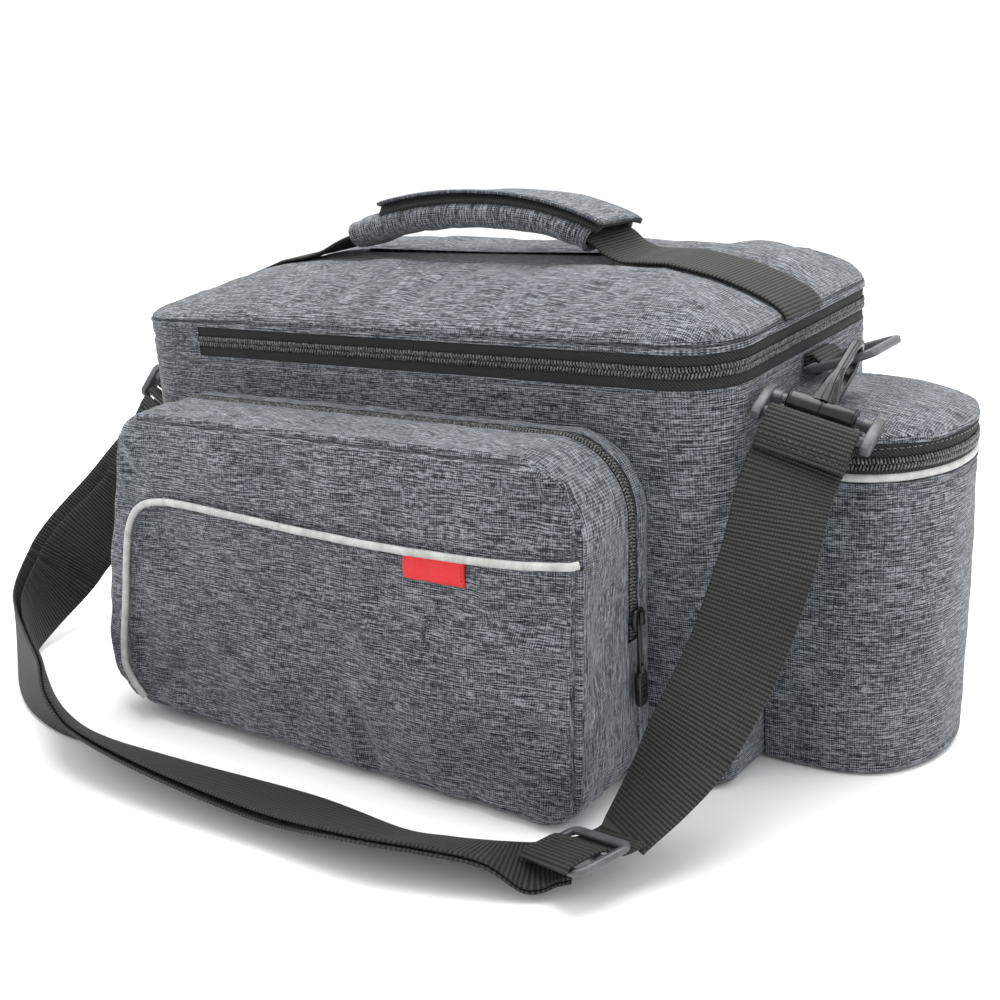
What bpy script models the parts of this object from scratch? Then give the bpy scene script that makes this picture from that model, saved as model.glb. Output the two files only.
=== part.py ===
"""A soft bicycle rack bag: padded body with a domed zip lid and carry handle, a large side pocket,
a round bottle pocket and a webbing shoulder strap lying round its front. Metres, +Z up. The body's
long front wall, which carries the side pocket, faces -Y, and the bottle pocket is at the +X end."""

import math

import bmesh
import bpy
from mathutils import Matrix, Vector

# Clearance between pieces that touch
GAP = 0.0003

# Body and lid
BODY_LENGTH = 0.372
BODY_WIDTH = 0.204
BODY_HEIGHT = 0.193
BODY_WALL = 0.004
BODY_CORNER = 0.032
BASE_CORNER = 0.016
BASE_ROUND = 0.006
WALL_BULGE = 0.005
REAR_LIFT = 0.03
LID_RISE = 0.027
LID_LEFT_SAG = 0.011
LID_SAG_LENGTH = 0.095

# Zip tape, coil and piping
TAPE_HEIGHT = 0.0155
TAPE_THICKNESS = 0.0012
COIL_WIDTH = 0.007
COIL_RISE = 0.0014
PIPING = 0.0042
ZIP_START = 0.055

# Side pocket, measured on its front panel
POCKET_DEPTH = 0.058
POCKET_TOP = 0.173
POCKET_RIGHT = 0.038
POCKET_RIGHT_LEAN = 0.003
POCKET_LEFT_TOP = 0.046
POCKET_LEFT_BASE = 0.014
POCKET_LEFT_CLEAR = 0.008
POCKET_WALL = 0.0025
POCKET_CROWN = 0.004
POCKET_LEAN = 0.18
POCKET_EDGE = 0.008
POCKET_ZIP_END = 0.081
POCKET_TAPE = 0.0185
POCKET_PIPING_SIDE = 0.030
POCKET_PIPING_TOP = 0.045
TAB_WIDTH = 0.034
TAB_HEIGHT = 0.0105
TAB_THICKNESS = 0.0015

# Bottle pocket
BOTTLE_DEPTH = 0.079
BOTTLE_WIDTH = 0.118
BOTTLE_DROP = 0.0465
BOTTLE_WALL = 0.003
BOTTLE_TAPE = 0.0135
BOTTLE_LID_RISE = 0.0155
BOTTLE_TAPER = 0.002

# Handle
HANDLE_Y = -0.012
HANDLE_WEBBING = 0.045
WEBBING = 0.0018
HANDLE_RISE = 0.0225
GRIP_WIDTH = 0.050
GRIP_HEIGHT = 0.0155
FLAP_WIDTH = 0.046
FLAP_THICKNESS = 0.0022

# Rings and hooks at the two ends
RING_DROP = 0.007
RING_WIRE = 0.0044
RING_WIDTH = 0.040
RING_REACH = 0.032
RING_CORNER = 0.007
RING_WEBBING = 0.030
RING_TILT = {1: 18, -1: -12}
HOOK_BAR = 0.005
HOOK_BARREL = 0.011
HOOK_LOOP_WIDTH = 0.0175
HOOK_LOOP_LENGTH = 0.041
HOOK_ARM = 0.0040
HOOK_ARM_DEPTH = 0.0046
HOOK_PLATE = 0.004
HOOK_SLACK = 0.0028
HOOK_PLATE_GAP = 0.0022

# How each end's hook lies: the way to its tip and the way along its bar, for the right (1) and the left (-1)
HOOK_TIP = {1: (0.0, 0.925, 0.380), -1: (0.45, 0.35, 0.82)}
HOOK_BAR_WAY = {1: (0.955, 0.160, -0.245), -1: (-0.89, 0.18, 0.41)}

# Shoulder strap
STRAP_WIDTH = 0.042
STRAP_THICKNESS = 0.0016
STRAP_TAIL = 0.019
STRAP_BOW = 0.011
SLIDER_LENGTH = 0.030
SLIDER_WIDTH = 0.049
SLIDER_THICKNESS = 0.0032
SLIDER_BAR = 0.0042

# Zip pulls
PULL_SLIDER = (0.011, 0.0085, 0.0042)
PULL_CORD = 0.0022
PULL_CORD_LENGTH = 0.022
PULL_TAB = (0.0085, 0.017, 0.0032)

# Looks: colour and roughness
FABRIC = {"kind": "melange_fabric", "colour": (0.115, 0.135, 0.170), "roughness": 0.85}
TAPE = {"kind": "zip_tape", "colour": (0.045, 0.045, 0.045), "roughness": 0.70}
WOVEN = {"kind": "black_webbing", "colour": (0.032, 0.032, 0.028), "roughness": 0.65}
REFLECTIVE = {"kind": "reflective_piping", "colour": (0.52, 0.53, 0.51), "roughness": 0.45}
PLASTIC = {"kind": "moulded_plastic", "colour": (0.045, 0.047, 0.050), "roughness": 0.38}
RED = {"kind": "red_cloth", "colour": (0.68, 0.010, 0.015), "roughness": 0.60}

# Places worked out from the sizes above
HALF_LENGTH = BODY_LENGTH / 2
HALF_WIDTH = BODY_WIDTH / 2
TAPE_BASE = BODY_HEIGHT + GAP
RING_HEIGHT = BODY_HEIGHT - RING_DROP
BOTTLE_HEIGHT = BODY_HEIGHT - BOTTLE_DROP
LID_BASE = TAPE_BASE + TAPE_HEIGHT + GAP
ZIP_X = ZIP_START - HALF_LENGTH
POCKET_BACK = -HALF_WIDTH - GAP
RING_BAR_X = HALF_LENGTH + GAP + 2 * WEBBING + RING_WIRE / 2

# The lid's rounded shoulder: inset from its edge as a share of half its width, and rise as a share of LID_RISE
LID_PROFILE = (
    {"inset": 0.000, "rise": 0.00},
    {"inset": 0.000, "rise": 0.10},
    {"inset": 0.014, "rise": 0.21},
    {"inset": 0.060, "rise": 0.36},
    {"inset": 0.180, "rise": 0.58},
    {"inset": 0.360, "rise": 0.81},
    {"inset": 0.600, "rise": 1.00},
)

# The body wall: height as a share of BODY_HEIGHT, and how much of WALL_BULGE it has there
BODY_PROFILE = (
    {"height": 0.18, "bulge": 0.45},
    {"height": 0.38, "bulge": 0.90},
    {"height": 0.58, "bulge": 0.95},
    {"height": 0.72, "bulge": 0.50},
    {"height": 0.84, "bulge": 0.00},
    {"height": 1.00, "bulge": 0.00},
)

# The side pocket's piping up the left side: in from the side and up, as shares of the height it reaches,
# and then across the top, as shares of the panel's right edge and of the height
PIPING_SIDE = (
    {"in": 0.085, "up": 0.110},
    {"in": 0.025, "up": 0.225},
    {"in": 0.012, "up": 0.350},
    {"in": 0.050, "up": 0.580},
    {"in": 0.070, "up": 0.740},
    {"in": 0.105, "up": 0.880},
    {"in": 0.175, "up": 0.970},
    {"in": 0.290, "up": 1.012},
)
PIPING_TOP = (
    {"x": -0.540, "up": 1.018},
    {"x": -0.100, "up": 0.995},
    {"x": 0.320, "up": 0.983},
    {"x": 0.720, "up": 0.992},
    {"x": 0.945, "up": 1.008},
)

# The bottle pocket's lid: its plan's size, and its rise as a share of BOTTLE_LID_RISE
BOTTLE_LID_PROFILE = ((1.0, 0.0), (1.0, 0.10), (0.98, 0.21), (0.92, 0.35), (0.78, 0.57), (0.5, 0.86), (0.2, 1.0))

# The handle webbing from one end of the lid to the other, where it leaves the lid:
# place along half the body's length, and height above the lid's crown as a share of HANDLE_RISE
HANDLE_ARCH = (
    {"x": -0.570, "up": 0.00},
    {"x": -0.510, "up": 0.10},
    {"x": -0.400, "up": 0.46},
    {"x": -0.200, "up": 0.86},
    {"x": 0.050, "up": 1.00},
    {"x": 0.270, "up": 0.88},
    {"x": 0.430, "up": 0.50},
    {"x": 0.490, "up": 0.16},
    {"x": 0.540, "up": 0.00},
)
# Where the padded sleeve and its flap begin and end, as shares of half the body's length
GRIP_FROM, GRIP_TO = -0.38, 0.435
FLAP_FROM, FLAP_TO = -0.29, 0.45

# The strap's front run, from the right hook to the slider: share of the way, bow as shares of STRAP_BOW
# to the right and away from the viewer, and the direction across the strap
FRONT_RUN = (
    {"way": 0.15, "right": 0.15, "away": -0.30, "across": (0.95, 0.16, -0.26)},
    {"way": 0.32, "right": 0.72, "away": -0.25, "across": (0.97, 0.20, -0.10)},
    {"way": 0.55, "right": 1.00, "away": 0.35, "across": (0.93, 0.30, 0.00)},
    {"way": 0.73, "right": 0.90, "away": 0.25, "across": (0.95, 0.15, 0.05)},
    {"way": 0.88, "right": 0.50, "away": 0.30, "across": (0.94, -0.25, 0.10)},
)

# The strap's lying run, by the edge that touches the floor, from under the slider to the left hook:
# x in half body lengths, y in half body widths, z in ring heights, then the direction across to the
# raised edge, how far the second layer lies inside the first, and how far it slips down, in thicknesses
LYING_RUN = (
    {"x": 0.785, "y": -1.716, "z": 0.006, "across": (0.49, -0.85, 0.18), "inside": 1.33, "slip": 0.0},
    {"x": 0.755, "y": -1.745, "z": 0.006, "across": (0.48, -0.85, 0.15), "inside": 1.33, "slip": 0.0},
    {"x": 0.700, "y": -1.805, "z": 0.006, "across": (0.45, -0.86, 0.08), "inside": 1.33, "slip": 0.0},
    {"x": 0.625, "y": -1.880, "z": 0.006, "across": (0.37, -0.85, 0.34), "inside": 1.45, "slip": 0.2},
    {"x": 0.520, "y": -1.950, "z": 0.006, "across": (0.22, -0.88, 0.42), "inside": 1.55, "slip": 0.3},
    {"x": 0.380, "y": -2.005, "z": 0.006, "across": (0.08, -0.90, 0.42), "inside": 1.70, "slip": 0.3},
    {"x": 0.100, "y": -1.985, "z": 0.006, "across": (-0.02, -0.95, 0.30), "inside": 2.60, "slip": 0.4},
    {"x": -0.300, "y": -2.010, "z": 0.006, "across": (0.01, -0.90, 0.44), "inside": 2.20, "slip": 0.3},
    {"x": -0.610, "y": -2.015, "z": 0.006, "across": (0.02, -0.79, 0.62), "inside": 1.60, "slip": 0.3},
    {"x": -0.750, "y": -2.040, "z": 0.006, "across": (0.01, -0.54, 0.84), "inside": 1.60, "slip": 0.4},
    {"x": -0.925, "y": -2.020, "z": 0.006, "across": (0.00, -0.06, 1.00), "inside": 1.60, "slip": 0.6},
    {"x": -1.130, "y": -1.890, "z": 0.008, "across": (0.06, 0.12, 0.99), "inside": 1.80, "slip": 0.8},
    {"x": -1.345, "y": -1.640, "z": 0.008, "across": (0.10, 0.06, 0.99), "inside": 2.20, "slip": 1.2},
    {"x": -1.460, "y": -1.410, "z": 0.025, "across": (0.05, -0.10, 0.99), "inside": 2.60, "slip": 2.0},
    {"x": -1.508, "y": -1.180, "z": 0.070, "across": (-0.08, -0.20, 0.98), "inside": 3.00, "slip": 3.0},
    {"x": -1.505, "y": -0.960, "z": 0.140, "across": (-0.28, -0.28, 0.92), "inside": 3.20, "slip": 3.8},
    {"x": -1.452, "y": -0.790, "z": 0.245, "across": (-0.46, -0.31, 0.83), "inside": 3.40, "slip": 4.4},
    {"x": -1.395, "y": -0.430, "z": 0.400, "across": (-0.50, -0.38, 0.78), "inside": 3.40, "slip": 5.0},
)

# Fine steps of round corners, and points along each straight side
ARC_STEPS = 4
SIDE_STEPS = 4
SLEEVE_STEPS = 12


def own_material(name, look):
    """A piece's own Principled BSDF material, from one of the looks above."""
    material = bpy.data.materials.new(f"{name}_{look['kind']}")
    material.use_nodes = True
    shader = material.node_tree.nodes["Principled BSDF"]
    shader.inputs["Base Color"].default_value = (*look["colour"], 1.0)
    shader.inputs["Roughness"].default_value = look["roughness"]
    shader.inputs["Metallic"].default_value = 0.0
    return material


def clear_scene():
    for item in list(bpy.data.objects):
        bpy.data.objects.remove(item, do_unlink=True)


def add_object(name, mesh, look):
    """Links a mesh as a named piece, in world space."""
    piece = bpy.data.objects.new(name, mesh)
    mesh.materials.append(own_material(name, look))
    COLLECTION.objects.link(piece)
    return piece


def finish_mesh(bm, name, outward=True):
    """Turns a bmesh into a smooth-shaded mesh with sharp edges kept."""
    if outward:
        bmesh.ops.recalc_face_normals(bm, faces=bm.faces)
    mesh = bpy.data.meshes.new(name)
    bm.to_mesh(mesh)
    bm.free()
    mesh.shade_smooth()
    mesh.set_sharp_from_angle(angle=math.radians(40))
    return mesh


def lifted(point):
    """The top stands a little higher along the back wall than along the front."""
    share = (point[1] + HALF_WIDTH) / BODY_WIDTH
    return Vector((point[0], point[1], point[2] * (1 + REAR_LIFT * share)))


def loft(rings, closed=True, cap_first=False, cap_last=False):
    """A bmesh through rings of points, each ring with the same number of points."""
    bm = bmesh.new()
    rows = [[bm.verts.new(p) for p in ring] for ring in rings]
    count = len(rows[0])
    last = count if closed else count - 1
    for lower, upper in zip(rows, rows[1:]):
        for i in range(last):
            j = (i + 1) % count
            bm.faces.new((lower[i], lower[j], upper[j], upper[i]))
    if cap_first:
        bm.faces.new(list(reversed(rows[0])))
    if cap_last:
        bm.faces.new(rows[-1])
    return bm


def shell(name, bm, wall, look):
    """An open surface given its wall thickness inwards."""
    piece = add_object(name, finish_mesh(bm, name, outward=False), look)
    modifier = piece.modifiers.new("wall", "SOLIDIFY")
    modifier.thickness = wall
    modifier.offset = -1
    modifier.use_even_offset = True
    return piece


def arc(centre, radius, start, end, steps):
    """Points on an arc in the plane, from one angle to another in degrees."""
    angles = [math.radians(start + (end - start) * i / steps) for i in range(steps + 1)]
    return [(centre[0] + radius * math.cos(a), centre[1] + radius * math.sin(a)) for a in angles]


def rounded_corners(corners, arc_steps=ARC_STEPS, side_steps=0):
    """A closed outline through (x, y, radius) corners, counter-clockwise, each rounded by an arc."""
    outline = []
    count = len(corners)
    for i in range(count):
        here = Vector(corners[i][:2])
        before = Vector(corners[i - 1][:2]) - here
        after = Vector(corners[(i + 1) % count][:2]) - here
        half = before.angle(after) / 2
        reach = corners[i][2] / math.tan(half)
        centre = here + (before.normalized() + after.normalized()).normalized() * (corners[i][2] / math.sin(half))
        first = here + before.normalized() * reach - centre
        last = here + after.normalized() * reach - centre
        start = math.degrees(math.atan2(first.y, first.x))
        turn = (math.degrees(math.atan2(last.y, last.x)) - start) % 360
        outline.append(arc(centre, corners[i][2], start, start + turn, arc_steps))
    points = []
    for i, run in enumerate(outline):
        points += run
        following = outline[(i + 1) % count][0]
        for k in range(1, side_steps + 1):
            share = k / (side_steps + 1)
            points.append(tuple(a + (b - a) * share for a, b in zip(run[-1], following)))
    return points


def inset_corners(corners, inset, least_radius=0.002):
    """The corners of the same outline, moved in by an inset."""
    count = len(corners)
    lines = []
    for i in range(count):
        a, b = Vector(corners[i][:2]), Vector(corners[(i + 1) % count][:2])
        along = (b - a).normalized()
        inward = Vector((-along.y, along.x))
        lines.append((a + inward * inset, along))
    moved = []
    for i in range(count):
        (p, u), (q, v) = lines[i - 1], lines[i]
        t = (q - p).cross(v) / u.cross(v)
        at = p + u * t
        moved.append((at.x, at.y, max(corners[i][2] - inset, least_radius)))
    return moved


def body_corners(height=BODY_HEIGHT):
    """The body's plan, counter-clockwise from the front left corner. Its corners are tighter at the base."""
    x, y = HALF_LENGTH, HALF_WIDTH
    radius = BASE_CORNER + (BODY_CORNER - BASE_CORNER) * min(1.0, height / BODY_HEIGHT)
    return [(-x, -y, radius), (x, -y, radius), (x, y, radius), (-x, y, radius)]


def bulged(x, y, amount):
    """Pushes the back wall and the left end, which carry no pocket, outwards in their middle."""
    across = max(0.0, 1 - (x / HALF_LENGTH) ** 2)
    along = max(0.0, 1 - (y / HALF_WIDTH) ** 2)
    if y > HALF_WIDTH - BODY_CORNER:
        y += amount * across * (y - HALF_WIDTH + BODY_CORNER) / BODY_CORNER
    if x < BODY_CORNER - HALF_LENGTH:
        x += amount * along * (x + HALF_LENGTH - BODY_CORNER) / BODY_CORNER
    return x, y


def body_ring(inset, height, bulge=0.0):
    outline = rounded_corners(inset_corners(body_corners(height), inset), side_steps=SIDE_STEPS)
    return [lifted((*bulged(x, y, bulge * WALL_BULGE), height)) for x, y in outline]


def build_body():
    """The padded main compartment, open at its rim under the zip."""
    rounding = [(90, 60), (60, 30), (30, 0)]
    rings = [body_ring(BASE_ROUND, 0.0)]
    for _, angle in rounding:
        a = math.radians(angle)
        rings.append(body_ring(BASE_ROUND * (1 - math.cos(a)), BASE_ROUND * (1 - math.sin(a))))
    for row in BODY_PROFILE:
        rings.append(body_ring(0.0, row["height"] * BODY_HEIGHT, row["bulge"]))
    return shell("body_shell", loft(rings, cap_first=True), BODY_WALL, FABRIC)


def lid_rise(x, rise):
    """Height of the lid above its edge: the crown sinks a little towards the left end."""
    left = min(1.0, max(0.0, (LID_SAG_LENGTH - HALF_LENGTH - x) / LID_SAG_LENGTH))
    return rise * (LID_RISE - LID_LEFT_SAG * left * left * (3 - 2 * left))


def build_lid():
    """The domed, padded lid. Its mouth is closed by the zip below."""
    rings = []
    for row in LID_PROFILE:
        corners = inset_corners(body_corners(), row["inset"] * HALF_WIDTH)
        outline = rounded_corners(corners, side_steps=SIDE_STEPS)
        rings.append([lifted((x, y, LID_BASE + lid_rise(x, row["rise"]))) for x, y in outline])
    return shell("lid_shell", loft(rings, cap_last=True), BODY_WALL, FABRIC)


def outward_normals(path):
    """Mitred outward normals of an open counter-clockwise path."""
    normals = []
    for i in range(len(path)):
        sides = []
        if i > 0:
            sides.append(Vector(path[i]) - Vector(path[i - 1]))
        if i < len(path) - 1:
            sides.append(Vector(path[i + 1]) - Vector(path[i]))
        units = [Vector((s.y, -s.x)).normalized() for s in sides]
        total = sum(units, Vector((0, 0))).normalized()
        normals.append(total / max(0.5, total.dot(units[0])))
    return normals


def sweep(path, section, place):
    """A closed solid: a section of (outward, along) points swept on an open path and placed in space."""
    rings = []
    for point, normal in zip(path, outward_normals(path)):
        rings.append([place(point[0] + normal.x * out, point[1] + normal.y * out, up) for out, up in section])
    return loft(rings, cap_first=True, cap_last=True)


def tape_section(base, height, coil_at, inner):
    """Zip tape with the raised coil of the closed zip on it; inner is how deep the tape lies."""
    half = COIL_WIDTH / 2
    out = COIL_RISE - inner
    return [
        (-inner - TAPE_THICKNESS, base),
        (-inner, base),
        (-inner, coil_at - half),
        (out, coil_at - half * 0.55),
        (out, coil_at + half * 0.55),
        (-inner, coil_at + half),
        (-inner, base + height),
        (-inner - TAPE_THICKNESS, base + height),
    ]


def in_plan(x, y, z):
    return lifted((x, y, z))


def upright(x, y, z):
    return Vector((x, y, z))


def build_main_zip():
    """The tape and coil round three sides, and the folded cloth that closes the left end."""
    x, y, r = HALF_LENGTH, HALF_WIDTH, BODY_CORNER
    run = [(ZIP_X, -y)]
    run += arc((x - r, -y + r), r, -90, 0, ARC_STEPS * 2)
    run += arc((x - r, y - r), r, 0, 90, ARC_STEPS * 2)
    run.append((ZIP_X, y))
    section = tape_section(TAPE_BASE, TAPE_HEIGHT, TAPE_BASE + TAPE_HEIGHT / 2, 0.0010)
    add_object("main_zip", finish_mesh(sweep(run, section, in_plan), "main_zip"), TAPE)
    run = [(ZIP_X - GAP, y)]
    run += arc((-x + r, y - r), r, 90, 180, ARC_STEPS * 2)
    run += arc((-x + r, -y + r), r, 180, 270, ARC_STEPS * 2)
    run.append((ZIP_X - GAP, -y))
    top = TAPE_BASE + TAPE_HEIGHT
    deep = TAPE_THICKNESS * 1.5
    section = [(-deep, TAPE_BASE), (0, TAPE_BASE), (0.0006, (TAPE_BASE + top) / 2), (0, top), (-deep, top)]
    add_object("end_hinge", finish_mesh(sweep(run, section, in_plan), "end_hinge"), FABRIC)


def pocket_corners():
    """The side pocket's outline as seen from the front: (x, z, radius), counter-clockwise."""
    return [
        (POCKET_LEFT_BASE - HALF_LENGTH, POCKET_LEFT_CLEAR, 0.034),
        (HALF_LENGTH - POCKET_RIGHT - POCKET_RIGHT_LEAN, 0.0005, 0.022),
        (HALF_LENGTH - POCKET_RIGHT, POCKET_TOP, 0.036),
        (POCKET_LEFT_TOP - HALF_LENGTH, POCKET_TOP, 0.022),
    ]


def in_front(x, z, out):
    """Places an outline point of the side pocket out from the body's front wall; its foot stands out more."""
    return Vector((x, POCKET_BACK - out * (1 + POCKET_LEAN * (1 - z / POCKET_TOP)), z))


def build_side_pocket():
    """Front panel and gusset in one shell, with the zip and the plain gusset behind it."""
    corners = pocket_corners()
    start = POCKET_TAPE + GAP
    rings = []
    for inset, out in (
        (0.0, start),
        (0.0, (start + POCKET_DEPTH) / 2),
        (0.0, POCKET_DEPTH - POCKET_EDGE),
        (POCKET_EDGE * 0.13, POCKET_DEPTH - POCKET_EDGE * 0.5),
        (POCKET_EDGE * 0.5, POCKET_DEPTH - POCKET_EDGE * 0.13),
        (POCKET_EDGE, POCKET_DEPTH),
        (POCKET_EDGE * 2.4, POCKET_DEPTH + POCKET_CROWN * 0.55),
        (POCKET_EDGE * 4.5, POCKET_DEPTH + POCKET_CROWN),
    ):
        outline = rounded_corners(inset_corners(corners, inset), side_steps=SIDE_STEPS)
        rings.append([in_front(x, z, out) for x, z in outline])
    shell("side_pocket", loft(rings, cap_last=True), POCKET_WALL, FABRIC)

    outline = rounded_corners(corners)
    per_corner = ARC_STEPS + 1
    right = corners[2][0]
    zip_end = (right - 0.0012, POCKET_ZIP_END)
    zip_run = [zip_end] + outline[2 * per_corner : 4 * per_corner - 2]
    section = [(out, POCKET_TAPE - up) for out, up in tape_section(0, POCKET_TAPE, POCKET_TAPE * 0.28, 0.0008)]
    add_object("pocket_zip", finish_mesh(sweep(zip_run, section, in_front), "pocket_zip"), TAPE)
    top_left = outline[4 * per_corner - 2 :]
    gusset_run = [tuple(Vector(zip_run[-1]).lerp(Vector(top_left[0]), 0.12))] + top_left
    gusset_run += outline[: 2 * per_corner] + [(right - 0.0012, POCKET_ZIP_END - GAP * 2)]
    section = [(-POCKET_WALL, 0), (0, 0), (0, POCKET_TAPE), (-POCKET_WALL, POCKET_TAPE)]
    add_object("pocket_gusset", finish_mesh(sweep(gusset_run, section, in_front), "pocket_gusset"), FABRIC)


def tube(name, points, diameter, look, cyclic=False):
    """A round cord or wire through points, with closed ends."""
    curve = bpy.data.curves.new(name, "CURVE")
    curve.dimensions = "3D"
    curve.bevel_depth = diameter / 2
    curve.bevel_resolution = 2
    curve.use_fill_caps = not cyclic
    spline = curve.splines.new("POLY")
    spline.points.add(len(points) - 1)
    for target, point in zip(spline.points, points):
        target.co = (*point, 1.0)
    spline.use_cyclic_u = cyclic
    piece = bpy.data.objects.new(name, curve)
    curve.materials.append(own_material(name, look))
    COLLECTION.objects.link(piece)
    return piece


def pocket_front_out(x, z):
    """How far the side pocket's front panel stands out at a place, above its seam."""
    corners = pocket_corners()
    edges = []
    for i in range(4):
        a, b = Vector(corners[i][:2]), Vector(corners[(i + 1) % 4][:2])
        along = (b - a).normalized()
        edges.append((Vector((x, z)) - a).dot(Vector((-along.y, along.x))))
    inset = min(edges) / POCKET_EDGE
    steps = ((0.0, -1.0), (0.13, -0.5), (0.5, -0.13), (1.0, 0.0))
    for (i0, o0), (i1, o1) in zip(steps, steps[1:]):
        if inset < i1:
            return POCKET_DEPTH + POCKET_EDGE * (o0 + (o1 - o0) * (inset - i0) / (i1 - i0))
    if inset < 2.4:
        return POCKET_DEPTH + POCKET_CROWN * 0.55 * (inset - 1) / 1.4
    return POCKET_DEPTH + POCKET_CROWN * (0.55 + 0.45 * min(1.0, (inset - 2.4) / 2.1))


def build_pocket_trim():
    """The reflective piping up the left side and across the top of the front panel, and a plain tab."""
    left = POCKET_PIPING_SIDE - HALF_LENGTH + POCKET_LEFT_BASE
    top = POCKET_TOP - POCKET_PIPING_TOP
    right = HALF_LENGTH - POCKET_RIGHT
    corners = [Vector((left + row["in"] * top, row["up"] * top)) for row in PIPING_SIDE]
    corners += [Vector((row["x"] * right, top * row["up"])) for row in PIPING_TOP]
    run = [(p.x, p.y) for p in smooth_run(corners, 4)]
    points = [in_front(x, z, pocket_front_out(x, z) + 4 * GAP + PIPING / 2) for x, z in run]
    tube("pocket_piping", points, PIPING, REFLECTIVE)

    centre_x = 0.40 * HALF_LENGTH
    tab_top = top * 0.985 - GAP - PIPING / 2
    rings = []
    for out in (GAP * 3, GAP * 3 + TAB_THICKNESS):
        corners = [(-0.5, -1), (0.5, -1), (0.5, 0), (-0.5, 0)]
        ring = []
        for u, v in corners:
            x, z = centre_x + u * TAB_WIDTH, tab_top + v * TAB_HEIGHT
            ring.append(in_front(x, z, POCKET_DEPTH + POCKET_CROWN + out))
        rings.append(ring)
    bm = loft(rings, cap_first=True, cap_last=True)
    add_object("red_tab", finish_mesh(bm, "red_tab"), RED)


def bottle_outline(inset):
    """The bottle pocket's plan, from the body's end wall round and back to it."""
    r = BOTTLE_WIDTH / 2 - inset
    start = HALF_LENGTH + GAP
    straight = BOTTLE_DEPTH - BOTTLE_WIDTH / 2 * 0.93
    points = [(start, -r)]
    for x, y in arc((0, 0), 1.0, -90, 90, ARC_STEPS * 3):
        bulge = abs(math.cos(math.atan2(y, max(x, 1e-9)))) ** 0.75
        depth = BOTTLE_DEPTH - straight - inset
        points.append((start + straight + depth * bulge, r * math.sin(math.atan2(y, max(x, 1e-9)))))
    points.append((start, r))
    return points


def build_bottle_pocket():
    """A round-ended pocket on the body's right end, with piping, a zip and a domed lid."""
    taper = BOTTLE_TAPER
    rings = [
        [Vector((x, y, 0.0)) for x, y in bottle_outline(taper + 0.003)],
        [Vector((x, y, 0.0012)) for x, y in bottle_outline(taper + 0.0008)],
        [Vector((x, y, 0.005)) for x, y in bottle_outline(taper)],
        [Vector((x, y, BOTTLE_HEIGHT * 0.35)) for x, y in bottle_outline(taper * 0.4)],
        [Vector((x, y, BOTTLE_HEIGHT * 0.7)) for x, y in bottle_outline(0.0)],
        [Vector((x, y, BOTTLE_HEIGHT)) for x, y in bottle_outline(0.0)],
    ]
    shell("bottle_pocket", loft(rings, closed=False, cap_first=True), BOTTLE_WALL, FABRIC)

    run = bottle_outline(0.0)
    piping_z = BOTTLE_HEIGHT + GAP + PIPING / 2
    edge = bottle_outline(PIPING / 2)
    clear = PIPING / 2 + GAP
    path = [Vector((max(x, HALF_LENGTH + clear), y, piping_z)) for x, y in edge]
    tube("bottle_piping", path, PIPING, REFLECTIVE)

    tape_base = BOTTLE_HEIGHT + PIPING + 2 * GAP
    section = tape_section(tape_base, BOTTLE_TAPE, tape_base + COIL_WIDTH * 0.6, 0.0010)
    add_object("bottle_zip", finish_mesh(sweep(run, section, upright), "bottle_zip"), TAPE)

    lid_base = tape_base + BOTTLE_TAPE + GAP
    rings = []
    for size, rise in BOTTLE_LID_PROFILE:
        ring = []
        for x, y in bottle_outline(0.0):
            away = x - HALF_LENGTH - GAP
            ring.append(Vector((HALF_LENGTH + GAP + away * size, y * size, lid_base + rise * BOTTLE_LID_RISE)))
        rings.append(ring)
    shell("bottle_lid", loft(rings, closed=False, cap_last=True), BOTTLE_WALL, FABRIC)


def smooth_run(points, steps):
    """Points on a smooth curve through the given vectors."""
    ends = [points[0] * 2 - points[1]] + list(points) + [points[-1] * 2 - points[-2]]
    run = []
    for a, b, c, d in zip(ends, ends[1:], ends[2:], ends[3:]):
        for k in range(steps):
            t = k / steps
            run.append(0.5 * (2 * b + (c - a) * t + (2 * a - 5 * b + 4 * c - d) * t**2 + (3 * b - a - 3 * c + d) * t**3))
    return run + [points[-1]]


def frames(centres, across):
    """Unit vectors across and out of a band at each centre: across is squared to the band's run."""
    result = []
    for i, wide in enumerate(across):
        before, after = centres[max(0, i - 1)], centres[min(len(centres) - 1, i + 1)]
        along = (after - before).normalized()
        side = (wide - along * wide.dot(along)).normalized()
        result.append((side, along.cross(side)))
    return result


def band(name, centres, across, width, thickness, look, columns=1):
    """A flat strap or webbing of rectangular section along its centre line, with points across its width."""
    rings = []
    shares = [k / columns - 0.5 for k in range(columns + 1)]
    for centre, (side, out) in zip(centres, frames(centres, across)):
        o = out * thickness / 2
        ring = [centre + side * (share * width) - o for share in shares]
        rings.append(ring + [centre + side * (share * width) + o for share in reversed(shares)])
    bm = loft(rings, cap_first=True, cap_last=True)
    return add_object(name, finish_mesh(bm, name), look)


def lid_profile(x, above):
    """A point on the lid's line at HANDLE_Y, at a distance above its surface, before the lift."""
    inset = (HALF_LENGTH - abs(x)) / HALF_WIDTH
    for low, high in zip(LID_PROFILE, LID_PROFILE[1:]):
        if inset <= high["inset"]:
            share = (inset - low["inset"]) / max(high["inset"] - low["inset"], GAP)
            rise = low["rise"] + (high["rise"] - low["rise"]) * share
            return Vector((x, HANDLE_Y, LID_BASE + lid_rise(x, rise) + above))
    return Vector((x, HANDLE_Y, LID_BASE + lid_rise(x, 1.0) + above))


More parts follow.
